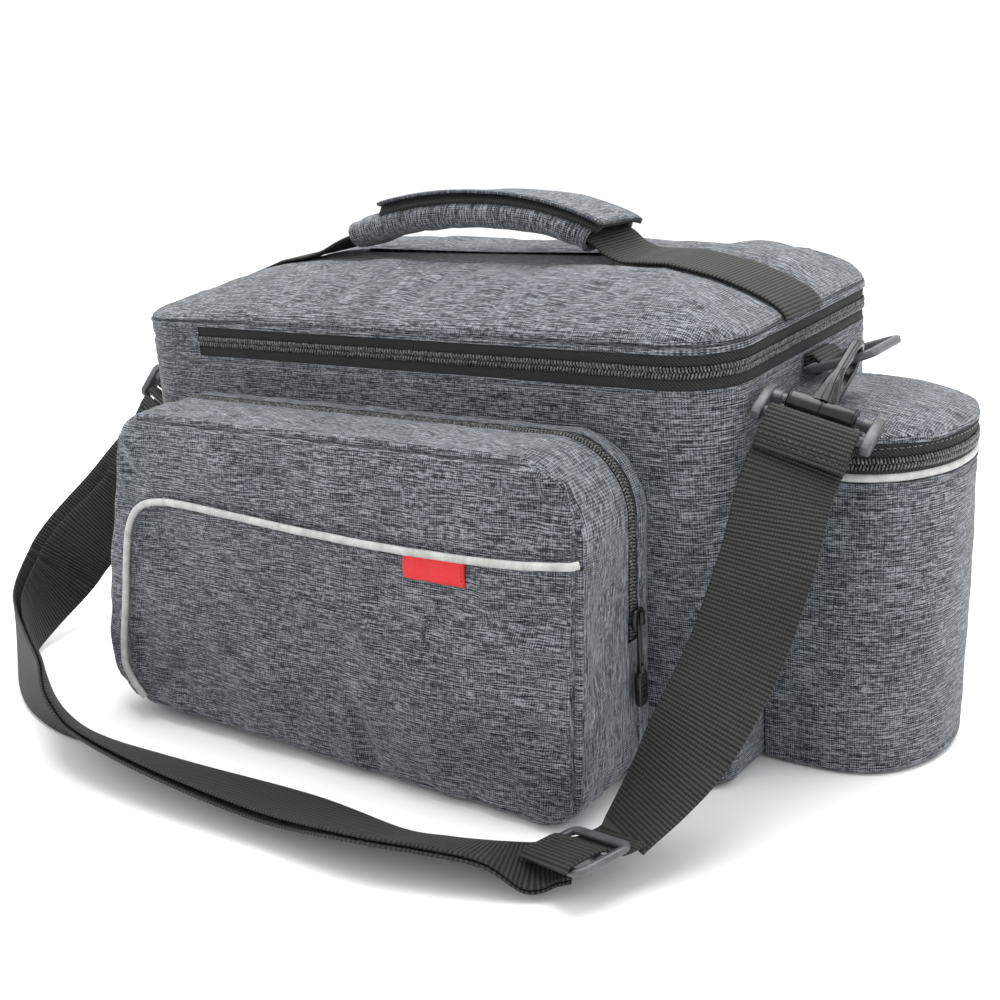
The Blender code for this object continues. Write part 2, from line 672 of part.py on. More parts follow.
def handle_arch():
    """The webbing's centre line where it is clear of the lid, before the lift."""
    rest = WEBBING / 2 + 2 * GAP
    points = []
    for row in HANDLE_ARCH:
        base = lid_profile(row["x"] * HALF_LENGTH, rest)
        points.append(base + Vector((0, 0, row["up"] * HANDLE_RISE)))
    return smooth_run(points, 3)


def between(points, first, last):
    """A run's points between two places along half the body's length, with its ends put in exactly."""
    start, end = first * HALF_LENGTH, last * HALF_LENGTH
    held = []
    for a, b in zip(points, points[1:]):
        for place in (start, end):
            if a.x < place <= b.x:
                held.append(a.lerp(b, (place - a.x) / (b.x - a.x)))
        if start < b.x < end:
            held.append(b)
    return sorted(held, key=lambda p: p.x)


def build_handle():
    """Webbing along the lid that lifts off as a handle, with a padded sleeve and its closing flap."""
    rest = WEBBING / 2 + 3 * GAP
    arch = handle_arch()
    ends = []
    for side in (-1, 1):
        surface = []
        for row in LID_PROFILE[1:]:
            point = lid_profile(side * (HALF_LENGTH - row["inset"] * HALF_WIDTH), 0.0)
            surface.append((point.x, point.z))
        normals = outward_normals(surface)
        run = [Vector((x, HANDLE_Y, z)) + Vector((n.x, 0, n.y)) * side * rest for (x, z), n in zip(surface, normals)]
        ends.append(run)
    centres = [lifted(p) for p in ends[0] + arch + list(reversed(ends[1]))]
    across = Vector((0, 1, REAR_LIFT * (LID_BASE + LID_RISE) / BODY_WIDTH))
    band("handle_webbing", centres, [across] * len(centres), HANDLE_WEBBING, WEBBING, WOVEN)

    outer, inner = [], []
    path = [lifted(p) for p in between(arch, GRIP_FROM, GRIP_TO)]
    slot_w, slot_h = HANDLE_WEBBING / 2 + 2 * GAP, WEBBING / 2 + 2 * GAP
    for centre, (side, out) in zip(path, frames(path, [across] * len(path))):
        outer.append([])
        inner.append([])
        for k in range(SLEEVE_STEPS):
            a = math.radians(360 * (k + 0.5) / SLEEVE_STEPS)
            c, s = math.cos(a), math.sin(a)
            u = math.copysign(abs(c) ** 0.45, c)
            v = math.copysign(abs(s) ** 0.75, s)
            outer[-1].append(centre + side * (u * GRIP_WIDTH / 2) + out * (v * GRIP_HEIGHT / 2))
            box = max(abs(c), abs(s))
            inner[-1].append(centre + side * (c / box * slot_w) + out * (s / box * slot_h))
    bm = loft(outer + inner[::-1] + outer[:1])
    bmesh.ops.remove_doubles(bm, verts=bm.verts, dist=1e-6)
    add_object("handle_grip", finish_mesh(bm, "handle_grip"), FABRIC)

    above = GRIP_HEIGHT / 2 + FLAP_THICKNESS / 2 + 2 * GAP
    path = [lifted(p) for p in between(arch, FLAP_FROM, FLAP_TO)]
    top = [c + out * above for c, (_, out) in zip(path, frames(path, [across] * len(path)))]
    band("handle_flap", top, [across] * len(top), FLAP_WIDTH, FLAP_THICKNESS, FABRIC)


def end_ring(side):
    """Where an end's ring lies: the centre of its bar, the way it sticks out, and its slide along Y."""
    tilt = math.radians(RING_TILT[side])
    bar = lifted((side * RING_BAR_X, 0.0 if side > 0 else 0.010, RING_HEIGHT))
    return bar, Vector((side * math.cos(tilt), 0, math.sin(tilt)))


def build_ring(side, label):
    """A D-ring held by a loop of webbing sewn to the end wall."""
    bar, out = end_ring(side)
    half = RING_WIDTH / 2 + RING_WIRE / 2
    corners = [(-half, 0, RING_CORNER * 0.5), (half, 0, RING_CORNER * 0.5)]
    corners += [(half, RING_REACH, RING_CORNER), (-half, RING_REACH, RING_CORNER)]
    outline = rounded_corners(corners, arc_steps=4)
    tube(f"ring_{label}", [bar + Vector((0, y, 0)) + out * d for y, d in outline], RING_WIRE, PLASTIC, cyclic=True)

    wrap = RING_WIRE / 2 + GAP + WEBBING / 2
    inner_x = side * (HALF_LENGTH + GAP * 2 + WEBBING / 2)
    outer_x = inner_x + side * (WEBBING + GAP * 2)
    middle = bar + Vector((0, 0.004 * side, 0))
    seam = lifted((0, middle.y, BODY_HEIGHT - 0.0012)).z
    centres = [Vector((inner_x, middle.y, seam)), Vector((inner_x, middle.y, bar.z + WEBBING))]
    for angle in (195, 230, 270, 310, 350, 30, 65):
        a = math.radians(angle)
        centres.append(middle + Vector((side * math.cos(a), 0, math.sin(a))) * wrap)
    centres.append(Vector((outer_x, middle.y, seam)))
    across = [Vector((0, 1, 0))] * len(centres)
    band(f"ring_webbing_{label}", centres, across, RING_WEBBING, WEBBING, WOVEN)


def hook_axes(side):
    """The hook's origin on its bar, and its directions: along the bar, out of its face and to its tip."""
    bar, out = end_ring(side)
    held = bar + Vector((0, -(RING_WIDTH + RING_WIRE) / 2, 0)) + out * (RING_REACH * 0.75)
    tip = Vector(HOOK_TIP[side]).normalized()
    along = Vector(HOOK_BAR_WAY[side])
    along = (along - tip * along.dot(tip)).normalized()
    top = HOOK_LOOP_LENGTH + HOOK_LOOP_WIDTH / 2 - HOOK_ARM / 2
    return held - tip * (top - RING_WIRE / 2 - HOOK_SLACK), along, along.cross(tip), tip


def hook_matrix(side):
    origin, along, face, tip = hook_axes(side)
    return Matrix.Translation(origin) @ Matrix((along, face, tip)).transposed().to_4x4()


def add_cylinder(bm, diameter, length, centre, axis):
    """A capped cylinder along X or Y of the hook."""
    made = bmesh.ops.create_cone(
        bm, cap_ends=True, segments=12, radius1=diameter / 2, radius2=diameter / 2, depth=length
    )
    turn = Matrix.Rotation(math.radians(90), 4, "Y" if axis == "X" else "X")
    bmesh.ops.transform(bm, matrix=Matrix.Translation(centre) @ turn, verts=made["verts"])


def add_box(bm, size, centre):
    made = bmesh.ops.create_cube(bm, size=1.0)
    matrix = Matrix.Translation(centre) @ Matrix.Diagonal((*size, 1.0))
    bmesh.ops.transform(bm, matrix=matrix, verts=made["verts"])


def joined(name, parts, cutters, look, matrix):
    """Unites plain solids with exact Booleans, cuts the cutters out, and places the result."""
    helpers = []
    for number, part in enumerate(parts + cutters):
        mesh = bpy.data.meshes.new(f"{name}_helper_{number}")
        part.to_mesh(mesh)
        part.free()
        helper = bpy.data.objects.new(mesh.name, mesh)
        CUTTERS.objects.link(helper)
        helper.matrix_world = matrix
        helper.hide_render = True
        helper.display_type = "WIRE"
        helpers.append(helper)
    base = helpers[0]
    piece = bpy.data.objects.new(name, base.data.copy())
    COLLECTION.objects.link(piece)
    piece.matrix_world = matrix
    piece.data.materials.append(own_material(name, look))
    for number, helper in enumerate(helpers[1:], start=1):
        modifier = piece.modifiers.new(f"cut_{number}", "BOOLEAN")
        modifier.operation = "UNION" if number < len(parts) else "DIFFERENCE"
        modifier.object = helper
    return piece


def bar_spread():
    """Half the distance between the end plates of a hook's webbing frame."""
    return STRAP_WIDTH / 2 + HOOK_PLATE_GAP + HOOK_PLATE / 2


def strap_bar_drop():
    return HOOK_BARREL / 2 + STRAP_THICKNESS + HOOK_BAR / 2 + 0.0022


def build_hook(side, label):
    """A swivel snap hook: a webbing frame with two bars, and the hook that turns on the upper bar."""
    matrix = hook_matrix(side)
    drop = strap_bar_drop()
    spread = bar_spread()
    parts = []
    for x in (-spread, spread):
        bm = bmesh.new()
        add_box(bm, (HOOK_PLATE, HOOK_BAR + 0.0025, drop + HOOK_BAR + 0.005), (x, 0, -drop / 2))
        parts.append(bm)
    for z in (0, -drop):
        bm = bmesh.new()
        add_cylinder(bm, HOOK_BAR, 2 * spread, (0, 0, z), "X")
        parts.append(bm)
    joined(f"hook_frame_{label}", parts, [], PLASTIC, matrix)

    barrel = bmesh.new()
    add_cylinder(barrel, HOOK_BARREL, 0.032, (0, 0, 0), "X")
    half = HOOK_LOOP_WIDTH / 2
    outline = [(-half * 0.45, 0.001), (-half, HOOK_BARREL * 1.1), (-half, HOOK_LOOP_LENGTH * 0.6)]
    outline += arc((0, HOOK_LOOP_LENGTH), half, 180, 0, 8)
    outline += [(half, HOOK_LOOP_LENGTH * 0.6), (half, HOOK_BARREL * 1.1), (half * 0.45, 0.001)]
    rings = []
    normals = outward_normals(outline)
    for (y, z), normal in zip(outline, normals):
        wide = HOOK_ARM_DEPTH / 2 * (1 + 1.6 * max(0.0, 1 - z / (HOOK_LOOP_LENGTH * 0.5)))
        deep = HOOK_ARM / 2
        section = [(-wide, -deep), (wide, -deep), (wide, deep), (-wide, deep)]
        rings.append([Vector((x, y + normal.x * d, z + normal.y * d)) for x, d in section])
    loop = loft(rings, cap_first=True, cap_last=True)
    bmesh.ops.recalc_face_normals(loop, faces=loop.faces)
    bore = bmesh.new()
    add_cylinder(bore, HOOK_BAR + 4 * GAP, 0.040, (0, 0, 0), "X")
    joined(f"hook_{label}", [barrel, loop], [bore], PLASTIC, matrix)


def slider_matrix():
    """The slider's place on the floor in front of the pocket: across the strap, along it, and up."""
    centre = Vector((0.868 * HALF_LENGTH, -1.948 * HALF_WIDTH, 0.0160))
    across = Vector((0.845, -0.450, 0.289)).normalized()
    along = Vector((0.372, 0.921, 0.115))
    along = (along - across * along.dot(across)).normalized()
    return Matrix.Translation(centre) @ Matrix((across, along, across.cross(along))).transposed().to_4x4()


def build_slider():
    """A moulded slider with three bars that the strap is threaded through."""
    frame = bmesh.new()
    add_box(frame, (SLIDER_WIDTH, SLIDER_LENGTH, SLIDER_THICKNESS), (0, 0, 0))
    upright = [e for e in frame.edges if abs((e.verts[0].co - e.verts[1].co).z) > SLIDER_THICKNESS / 2]
    bmesh.ops.bevel(frame, geom=upright, offset=0.006, segments=3, affect="EDGES", profile=0.5)
    slots = []
    opening = (SLIDER_LENGTH - 3 * SLIDER_BAR) / 2
    for side in (-1, 1):
        slot = bmesh.new()
        y = side * (SLIDER_BAR + opening) / 2
        add_box(slot, (STRAP_WIDTH + 4 * GAP, opening, SLIDER_THICKNESS * 3), (0, y, 0))
        slots.append(slot)
    joined("strap_slider", [frame], slots, PLASTIC, slider_matrix())


def bar_centre(side):
    origin, _, _, tip = hook_axes(side)
    return origin - tip * strap_bar_drop()


def wrapped(centre, from_face, tip, radius, steps=6):
    """Points of a half turn over a bar, from one face to the other."""
    points = []
    for k in range(steps + 1):
        a = math.pi * k / steps
        points.append(centre + from_face * (math.cos(a) * radius) + tip * (math.sin(a) * radius))
    return points


def build_front_run():
    """The strap from its stitched fold on the right hook down to the slider."""
    _, along, face, tip = hook_axes(1)
    bar = bar_centre(1)
    place = slider_matrix()
    far_bar = SLIDER_LENGTH / 2 - SLIDER_BAR / 2
    under = SLIDER_THICKNESS / 2 + STRAP_THICKNESS / 2 + 3 * GAP
    entry = place @ Vector((0, SLIDER_LENGTH / 2 + 0.008, -under - 0.0005))
    radius = HOOK_BAR / 2 + 2 * GAP + STRAP_THICKNESS / 2
    stations, across = [], []
    for row in FRONT_RUN:
        point = bar.lerp(entry, row["way"])
        stations.append(point + Vector((row["right"], row["away"], 0)) * STRAP_BOW)
        across.append(Vector(row["across"]))
    down = (stations[0] - bar).normalized()
    front = down.cross(along).normalized()
    lap = STRAP_THICKNESS + 2 * GAP
    main = [bar - face * radius, bar + down * 0.009 - front * 0.0006, stations[0]]
    tail = [bar + down * STRAP_TAIL * 0.95 + front * lap * 1.2, bar + down * 0.009 + front * lap * 2.1]
    start = tail + wrapped(bar, face, tip, radius) + main[1:2]
    normal_wide = [along] * len(start)
    through = [
        (SLIDER_LENGTH / 2 + 0.008, -under - 0.0005),
        (far_bar, -under),
        (far_bar - SLIDER_BAR * 0.9, -under * 0.75),
        (SLIDER_BAR * 0.75, under * 0.85),
        (0.0, under),
        (-far_bar, under),
        (-far_bar - SLIDER_BAR * 0.6, under * 0.9),
        (-far_bar - SLIDER_BAR * 1.0, under * 0.4),
    ]
    end = [place @ Vector((0, l, n)) for l, n in through]
    slider_across = place.to_3x3() @ Vector((1, 0, 0))
    run = [start[-1]] + stations + [end[0]]
    wide = [along] + across + [slider_across]
    middle, middle_wide = smooth_run(run, 3), smooth_run(wide, 3)
    centres = start[:-1] + middle + end[1:]
    widths = normal_wide[:-1] + middle_wide + [slider_across] * (len(end) - 1)
    band("strap_front_run", centres, widths, STRAP_WIDTH, STRAP_THICKNESS, WOVEN, columns=3)


def build_lying_run():
    """The strap from the slider round the left end and up to the left hook, and its second layer back."""
    _, along, face, tip = hook_axes(-1)
    bar = bar_centre(-1)
    radius = HOOK_BAR / 2 + 2 * GAP + STRAP_THICKNESS / 2
    edges, across, inside, slip = [], [], [], []
    for row in LYING_RUN:
        wide = Vector(row["across"]).normalized()
        foot = Vector((row["x"] * HALF_LENGTH, row["y"] * HALF_WIDTH, row["z"] * RING_HEIGHT))
        edges.append(foot + wide * STRAP_WIDTH / 2)
        across.append(wide)
        inside.append(row["inside"])
        slip.append(row["slip"])
    arrive = bar - tip * 0.014 + face * radius
    centres = smooth_run(edges + [arrive, bar + face * radius], 3)
    widths = smooth_run(across + [along, along], 3)
    over = wrapped(bar, face, tip, radius)[1:]
    outer = centres + over
    outer_wide = widths + [along] * len(over)
    band("strap_outer_layer", outer, outer_wide, STRAP_WIDTH, STRAP_THICKNESS, WOVEN, columns=3)

    shares = [Vector((a, b, 0)) for a, b in zip(inside, slip)]
    shares = smooth_run(shares + [Vector((4.2, 0, 0)), Vector((4.2, 0, 0))], 3)
    second = []
    for centre, (side, out), share in zip(centres, frames(centres, widths), shares):
        point = centre + out * (share.x * STRAP_THICKNESS) - side * (share.y * STRAP_THICKNESS)
        low_edge = point.z - abs(side.z) * STRAP_WIDTH / 2 - abs(out.z) * STRAP_THICKNESS / 2
        point.z += max(0.0, GAP - low_edge)
        second.append(point)
    second = second[:-4] + [bar - tip * 0.010 - face * radius, bar - tip * 0.0022 - face * radius]
    second_wide = widths[:-4] + [along, along]
    band("strap_inner_layer", second, second_wide, STRAP_WIDTH, STRAP_THICKNESS, WOVEN, columns=3)


def build_pull(name, place):
    """A zip slider with its puller of cord and a moulded tab; place turns local (across, down, out) to world."""
    body = bmesh.new()
    add_box(body, PULL_SLIDER, (0, 0, PULL_SLIDER[2] / 2))
    upright = [e for e in body.edges if abs((e.verts[0].co - e.verts[1].co).z) > PULL_SLIDER[2] / 2]
    bmesh.ops.bevel(body, geom=upright, offset=0.0022, segments=2, affect="EDGES", profile=0.5)
    tab_top = PULL_SLIDER[1] / 2 + PULL_CORD_LENGTH
    cord = bmesh.new()
    add_cylinder(cord, PULL_CORD, tab_top + 0.004, (0, -tab_top / 2, PULL_SLIDER[2] / 2), "Y")
    tab = bmesh.new()
    add_box(tab, PULL_TAB, (0, -tab_top - PULL_TAB[1] / 2, PULL_SLIDER[2] / 2))
    bmesh.ops.bevel(tab, geom=list(tab.edges), offset=0.0009, segments=1, affect="EDGES", profile=0.5)
    joined(name, [body, cord, tab], [], PLASTIC, place)


def build_pulls():
    """One puller on each zip: the side pocket's shows, the other two are at the back."""
    axes = Matrix(((0, 0, 1), (1, 0, 0), (0, 1, 0))).to_4x4()
    height = POCKET_ZIP_END + PULL_SLIDER[1]
    side = HALF_LENGTH - POCKET_RIGHT - POCKET_RIGHT_LEAN * (1 - height / POCKET_TOP)
    seat = in_front(side + COIL_RISE, height, POCKET_TAPE * 0.72)
    build_pull("pocket_zip_pull", Matrix.Translation(seat) @ axes)
    axes = Matrix(((-1, 0, 0), (0, 0, 1), (0, 1, 0))).to_4x4()
    coil_z = lifted((0, HALF_WIDTH, TAPE_BASE + TAPE_HEIGHT / 2)).z
    place = Matrix.Translation((ZIP_X + 0.02, HALF_WIDTH + COIL_RISE * 0.6, coil_z)) @ axes
    build_pull("main_zip_pull", place)


def main():
    build_body()
    build_lid()
    build_main_zip()
    build_side_pocket()
    build_pocket_trim()
    build_bottle_pocket()
    build_handle()
    for side, label in ((1, "right"), (-1, "left")):
        build_ring(side, label)
        build_hook(side, label)
    build_slider()
    build_front_run()
    build_lying_run()
    build_pulls()


clear_scene()
COLLECTION = bpy.data.collections.new("bicycle_rack_bag")
CUTTERS = bpy.data.collections.new("cutters")
bpy.context.scene.collection.children.link(COLLECTION)
bpy.context.scene.collection.children.link(CUTTERS)
CUTTERS.hide_render = True
main()
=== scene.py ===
"""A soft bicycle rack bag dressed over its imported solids: melange cloth with seams and folds,
closed zips with their teeth, ribbed webbing, reflective piping and moulded plastic.
Metres, +Z up."""

import math

import bmesh
import bpy
import numpy as np
from mathutils import Matrix, Vector, noise


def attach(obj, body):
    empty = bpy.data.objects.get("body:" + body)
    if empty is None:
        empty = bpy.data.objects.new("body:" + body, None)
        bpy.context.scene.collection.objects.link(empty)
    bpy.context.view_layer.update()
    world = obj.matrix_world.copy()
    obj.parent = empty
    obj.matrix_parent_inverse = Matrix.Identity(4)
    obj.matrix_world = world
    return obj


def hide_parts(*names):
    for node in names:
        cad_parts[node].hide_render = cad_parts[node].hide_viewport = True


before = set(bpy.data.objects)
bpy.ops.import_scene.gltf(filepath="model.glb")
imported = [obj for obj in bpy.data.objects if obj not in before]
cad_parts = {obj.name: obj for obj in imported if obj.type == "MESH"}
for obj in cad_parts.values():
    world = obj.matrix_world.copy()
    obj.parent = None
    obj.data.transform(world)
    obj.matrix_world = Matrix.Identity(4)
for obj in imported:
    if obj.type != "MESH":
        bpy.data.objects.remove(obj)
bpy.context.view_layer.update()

# The sizes of the solids
GAP = 0.0003
BODY_LENGTH, BODY_WIDTH, BODY_HEIGHT = 0.372, 0.204, 0.193
BODY_CORNER, BASE_CORNER, BASE_ROUND = 0.032, 0.016, 0.006
LEAST_RADIUS = 0.002
WALL_BULGE, REAR_LIFT = 0.005, 0.03
LID_RISE, LID_LEFT_SAG, LID_SAG_LENGTH = 0.027, 0.011, 0.095
TAPE_HEIGHT, COIL_RISE, PIPING = 0.0155, 0.0014, 0.0042
ZIP_START = 0.055
POCKET_DEPTH, POCKET_TOP, POCKET_RIGHT, POCKET_RIGHT_LEAN = 0.058, 0.173, 0.038, 0.003
POCKET_LEFT_TOP, POCKET_LEFT_BASE, POCKET_LEFT_CLEAR = 0.046, 0.014, 0.008
POCKET_CROWN, POCKET_LEAN, POCKET_EDGE = 0.004, 0.18, 0.008
POCKET_ZIP_END, POCKET_TAPE = 0.081, 0.0185
POCKET_PIPING_SIDE, POCKET_PIPING_TOP = 0.030, 0.045
TAB_WIDTH, TAB_HEIGHT = 0.034, 0.0105
BOTTLE_DEPTH, BOTTLE_WIDTH, BOTTLE_HEIGHT = 0.079, 0.118, 0.1465
BOTTLE_TAPE, BOTTLE_LID_RISE, BOTTLE_TAPER = 0.0135, 0.0155, 0.002
HANDLE_Y, HANDLE_WEBBING, WEBBING, HANDLE_RISE = -0.012, 0.045, 0.0018, 0.0225
GRIP_WIDTH, GRIP_HEIGHT, FLAP_WIDTH, FLAP_THICKNESS = 0.050, 0.0155, 0.046, 0.0022
RING_HEIGHT, RING_WIRE, RING_WIDTH, RING_REACH, RING_CORNER = 0.186, 0.0044, 0.040, 0.032, 0.007
RING_WEBBING = 0.030
RING_TILT = {1: 18, -1: -12}
HOOK_BAR, HOOK_BARREL, HOOK_LOOP_WIDTH, HOOK_LOOP_LENGTH = 0.005, 0.011, 0.0175, 0.041
HOOK_ARM, HOOK_ARM_DEPTH, HOOK_SLACK = 0.0040, 0.0046, 0.0028
HOOK_PLATE, HOOK_PLATE_GAP = 0.004, 0.0022
HOOK_TIP = {1: (0.0, 0.925, 0.380), -1: (0.45, 0.35, 0.82)}
HOOK_BAR_WAY = {1: (0.955, 0.160, -0.245), -1: (-0.89, 0.18, 0.41)}
STRAP_WIDTH, STRAP_THICKNESS, STRAP_TAIL, STRAP_BOW = 0.042, 0.0016, 0.019, 0.011
SLIDER_LENGTH, SLIDER_WIDTH, SLIDER_THICKNESS, SLIDER_BAR = 0.030, 0.049, 0.0032, 0.0042
PULL_SLIDER = (0.011, 0.0085, 0.0042)
PULL_CORD, PULL_CORD_LENGTH = 0.0022, 0.022
PULL_TAB = (0.0085, 0.017, 0.0032)

HALF_LENGTH = BODY_LENGTH / 2
HALF_WIDTH = BODY_WIDTH / 2
TAPE_BASE = BODY_HEIGHT + GAP
LID_BASE = TAPE_BASE + TAPE_HEIGHT + GAP
ZIP_X = ZIP_START - HALF_LENGTH
POCKET_BACK = -HALF_WIDTH - GAP
RING_BAR_X = HALF_LENGTH + GAP + 2 * WEBBING + RING_WIRE / 2

# Inset as a share of half the width, and rise as a share of LID_RISE
LID_PROFILE = (
    (0.0, 0.0), (0.0, 0.10), (0.014, 0.21), (0.06, 0.36), (0.18, 0.58), (0.36, 0.81), (0.60, 1.0),
)
# Height as a share of BODY_HEIGHT, and share of WALL_BULGE
BODY_PROFILE = (
    (0.0, 0.0), (0.18, 0.45), (0.38, 0.90), (0.58, 0.95), (0.72, 0.50), (0.84, 0.0), (1.0, 0.0),
)
# Size of the plan, and rise as a share of BOTTLE_LID_RISE
BOTTLE_LID_PROFILE = (
    (1.0, 0.0), (1.0, 0.10), (0.98, 0.21), (0.92, 0.35), (0.78, 0.57), (0.5, 0.86), (0.2, 1.0),
)
PIPING_SIDE = (
    (0.085, 0.110), (0.025, 0.225), (0.012, 0.350), (0.050, 0.580),
    (0.070, 0.740), (0.105, 0.880), (0.175, 0.970), (0.290, 1.012),
)
PIPING_TOP = ((-0.540, 1.018), (-0.100, 0.995), (0.320, 0.983), (0.720, 0.992), (0.986, 1.008))
HANDLE_ARCH = (
    (-0.57, 0.0), (-0.51, 0.10), (-0.40, 0.46), (-0.20, 0.86), (0.05, 1.0),
    (0.27, 0.88), (0.43, 0.50), (0.49, 0.16), (0.54, 0.0),
)
GRIP_FROM, GRIP_TO = -0.38, 0.435
FLAP_FROM, FLAP_TO = -0.29, 0.45
# Share of the way, bow to the right and away, and the direction across
FRONT_RUN = (
    (0.15, 0.15, -0.30, (0.95, 0.16, -0.26)),
    (0.32, 0.72, -0.25, (0.97, 0.20, -0.10)),
    (0.55, 1.00, 0.35, (0.93, 0.30, 0.00)),
    (0.73, 0.90, 0.25, (0.95, 0.15, 0.05)),
    (0.88, 0.50, 0.30, (0.94, -0.25, 0.10)),
)
# x, y, z in half lengths, half widths and ring heights, the direction across, and how far in and
# down the inner layer lies, in thicknesses
LYING_RUN = (
    (0.785, -1.716, 0.006, (0.49, -0.85, 0.18), 1.33, 0.0),
    (0.755, -1.745, 0.006, (0.48, -0.85, 0.15), 1.33, 0.0),
    (0.700, -1.805, 0.006, (0.45, -0.86, 0.08), 1.33, 0.0),
    (0.625, -1.880, 0.006, (0.37, -0.85, 0.34), 1.45, 0.2),
    (0.520, -1.950, 0.006, (0.22, -0.88, 0.42), 1.55, 0.3),
    (0.380, -2.005, 0.006, (0.08, -0.90, 0.42), 1.70, 0.3),
    (0.100, -1.985, 0.006, (-0.02, -0.95, 0.30), 2.60, 0.4),
    (-0.300, -2.010, 0.006, (0.01, -0.90, 0.44), 2.20, 0.3),
    (-0.610, -2.015, 0.006, (0.02, -0.79, 0.62), 1.60, 0.3),
    (-0.750, -2.040, 0.006, (0.01, -0.54, 0.84), 1.60, 0.4),
    (-0.925, -2.020, 0.006, (0.00, -0.06, 1.00), 1.60, 0.6),
    (-1.130, -1.890, 0.008, (0.06, 0.12, 0.99), 1.80, 0.8),
    (-1.345, -1.640, 0.008, (0.10, 0.06, 0.99), 2.20, 1.2),
    (-1.460, -1.410, 0.025, (0.05, -0.10, 0.99), 2.60, 2.0),
    (-1.508, -1.180, 0.070, (-0.08, -0.20, 0.98), 3.00, 3.0),
    (-1.505, -0.960, 0.140, (-0.28, -0.28, 0.92), 3.20, 3.8),
    (-1.452, -0.790, 0.245, (-0.46, -0.31, 0.83), 3.40, 4.4),
    (-1.395, -0.430, 0.400, (-0.50, -0.38, 0.78), 3.40, 5.0),
)

# Folds on the side pocket's front: from (x, z) to (x, z), half width, and depth or minus a height
POCKET_FOLDS = (
    ((-0.142, 0.150), (-0.118, 0.138), 0.0050, 0.0016),
    ((-0.128, 0.160), (-0.095, 0.146), 0.0060, -0.0012),
    ((-0.150, 0.128), (-0.128, 0.122), 0.0045, 0.0012),
    ((-0.155, 0.060), (-0.128, 0.072), 0.0060, 0.0012),
    ((-0.152, 0.036), (-0.118, 0.050), 0.0070, 0.0016),
    ((-0.120, 0.020), (-0.080, 0.044), 0.0090, 0.0013),
    ((-0.050, 0.012), (-0.030, 0.060), 0.0120, -0.0012),
    ((0.030, 0.014), (0.052, 0.058), 0.0110, 0.0012),
    ((0.138, 0.105), (0.104, 0.098), 0.0045, 0.0014),
    ((0.137, 0.090), (0.112, 0.086), 0.0040, -0.0011),
    ((0.136, 0.076), (0.098, 0.070), 0.0050, 0.0013),
    ((0.135, 0.040), (0.105, 0.052), 0.0060, 0.0012),
    ((0.128, 0.022), (0.092, 0.046), 0.0070, 0.0014),
    ((0.126, 0.152), (0.098, 0.140), 0.0060, 0.0012),
    ((-0.060, 0.160), (0.010, 0.152), 0.0060, 0.0009),
    ((0.020, 0.092), (0.100, 0.086), 0.0130, -0.0010),
    ((-0.100, 0.100), (-0.020, 0.108), 0.0140, 0.0010),
)

# The front panel's section: inset in edge widths, and how far out of POCKET_DEPTH
FRONT_PROFILE = (
    (0.0, -0.0080), (0.04, -0.0058), (0.13, -0.0040), (0.28, -0.0022), (0.5, -0.0010),
    (0.75, -0.0003), (1.0, 0.0), (1.7, 0.0012), (2.4, 0.0022), (3.4, 0.0033), (4.5, 0.0040),
    (6.0, 0.0043), (12.0, 0.0046),
)

# The dress
FOLD_GAIN = 2.4
RIM_SEAM, LID_SEAM, RIM_INSET = 0.0035, 0.13, 0.0005
POCKET_ZIP_LEFT, POCKET_ZIP_LOW, POCKET_ZIP_SIDE = -0.137, 0.10, 0.10
TAB_CENTRE = 0.40 * HALF_LENGTH
HOOK_BAR_DROP = HOOK_BARREL / 2 + STRAP_THICKNESS + HOOK_BAR / 2 + 0.0022
STRAP_RADIUS = HOOK_BAR / 2 + 2 * GAP + STRAP_THICKNESS / 2
TOOTH_PITCH = 0.0017
PLAN_ABOVE, NO_PLAN = 0.62, 2.0
FLAP_COLUMNS = 20
WORLD_LIGHT = 1.08
CAMERA_SENSOR, CAMERA_LENS = 36.0, 48.67
CAMERA_AT = (0.4273, -0.6267, 0.3213)
CAMERA_RIGHT, CAMERA_BACK = (0.8318, 0.5525, -0.0552), (0.5433, -0.7896, 0.2847)


def clamp(value, low=0.0):
    return min(1.0, max(low, value))


def bell(value, width):
    return math.exp(-((value / width) ** 2))


def arc(centre, radius, start, end, steps):
    angles = [math.radians(start + (end - start) * i / steps) for i in range(steps + 1)]
    return [(centre[0] + radius * math.cos(a), centre[1] + radius * math.sin(a)) for a in angles]


def rounded_corners(corners, arc_steps, side_steps):
    """A closed outline through (x, y, radius) corners, with side_steps points along its sides."""
    outline = []
    count = len(corners)
    for i in range(count):
        here = Vector(corners[i][:2])
        before = Vector(corners[i - 1][:2]) - here
        after = Vector(corners[(i + 1) % count][:2]) - here
        half = before.angle(after) / 2
        reach = corners[i][2] / math.tan(half)
        halfway = (before.normalized() + after.normalized()).normalized()
        centre = here + halfway * (corners[i][2] / math.sin(half))
        first = here + before.normalized() * reach - centre
        last = here + after.normalized() * reach - centre
        start = math.degrees(math.atan2(first.y, first.x))
        turn = (math.degrees(math.atan2(last.y, last.x)) - start) % 360
        outline.append(arc(centre, corners[i][2], start, start + turn, arc_steps))
    points = []
    for i, run in enumerate(outline):
        points += run
        following = outline[(i + 1) % count][0]
        steps = side_steps[i % len(side_steps)]
        for k in range(1, steps + 1):
            share = k / (steps + 1)
            points.append(tuple(a + (b - a) * share for a, b in zip(run[-1], following)))
    return points


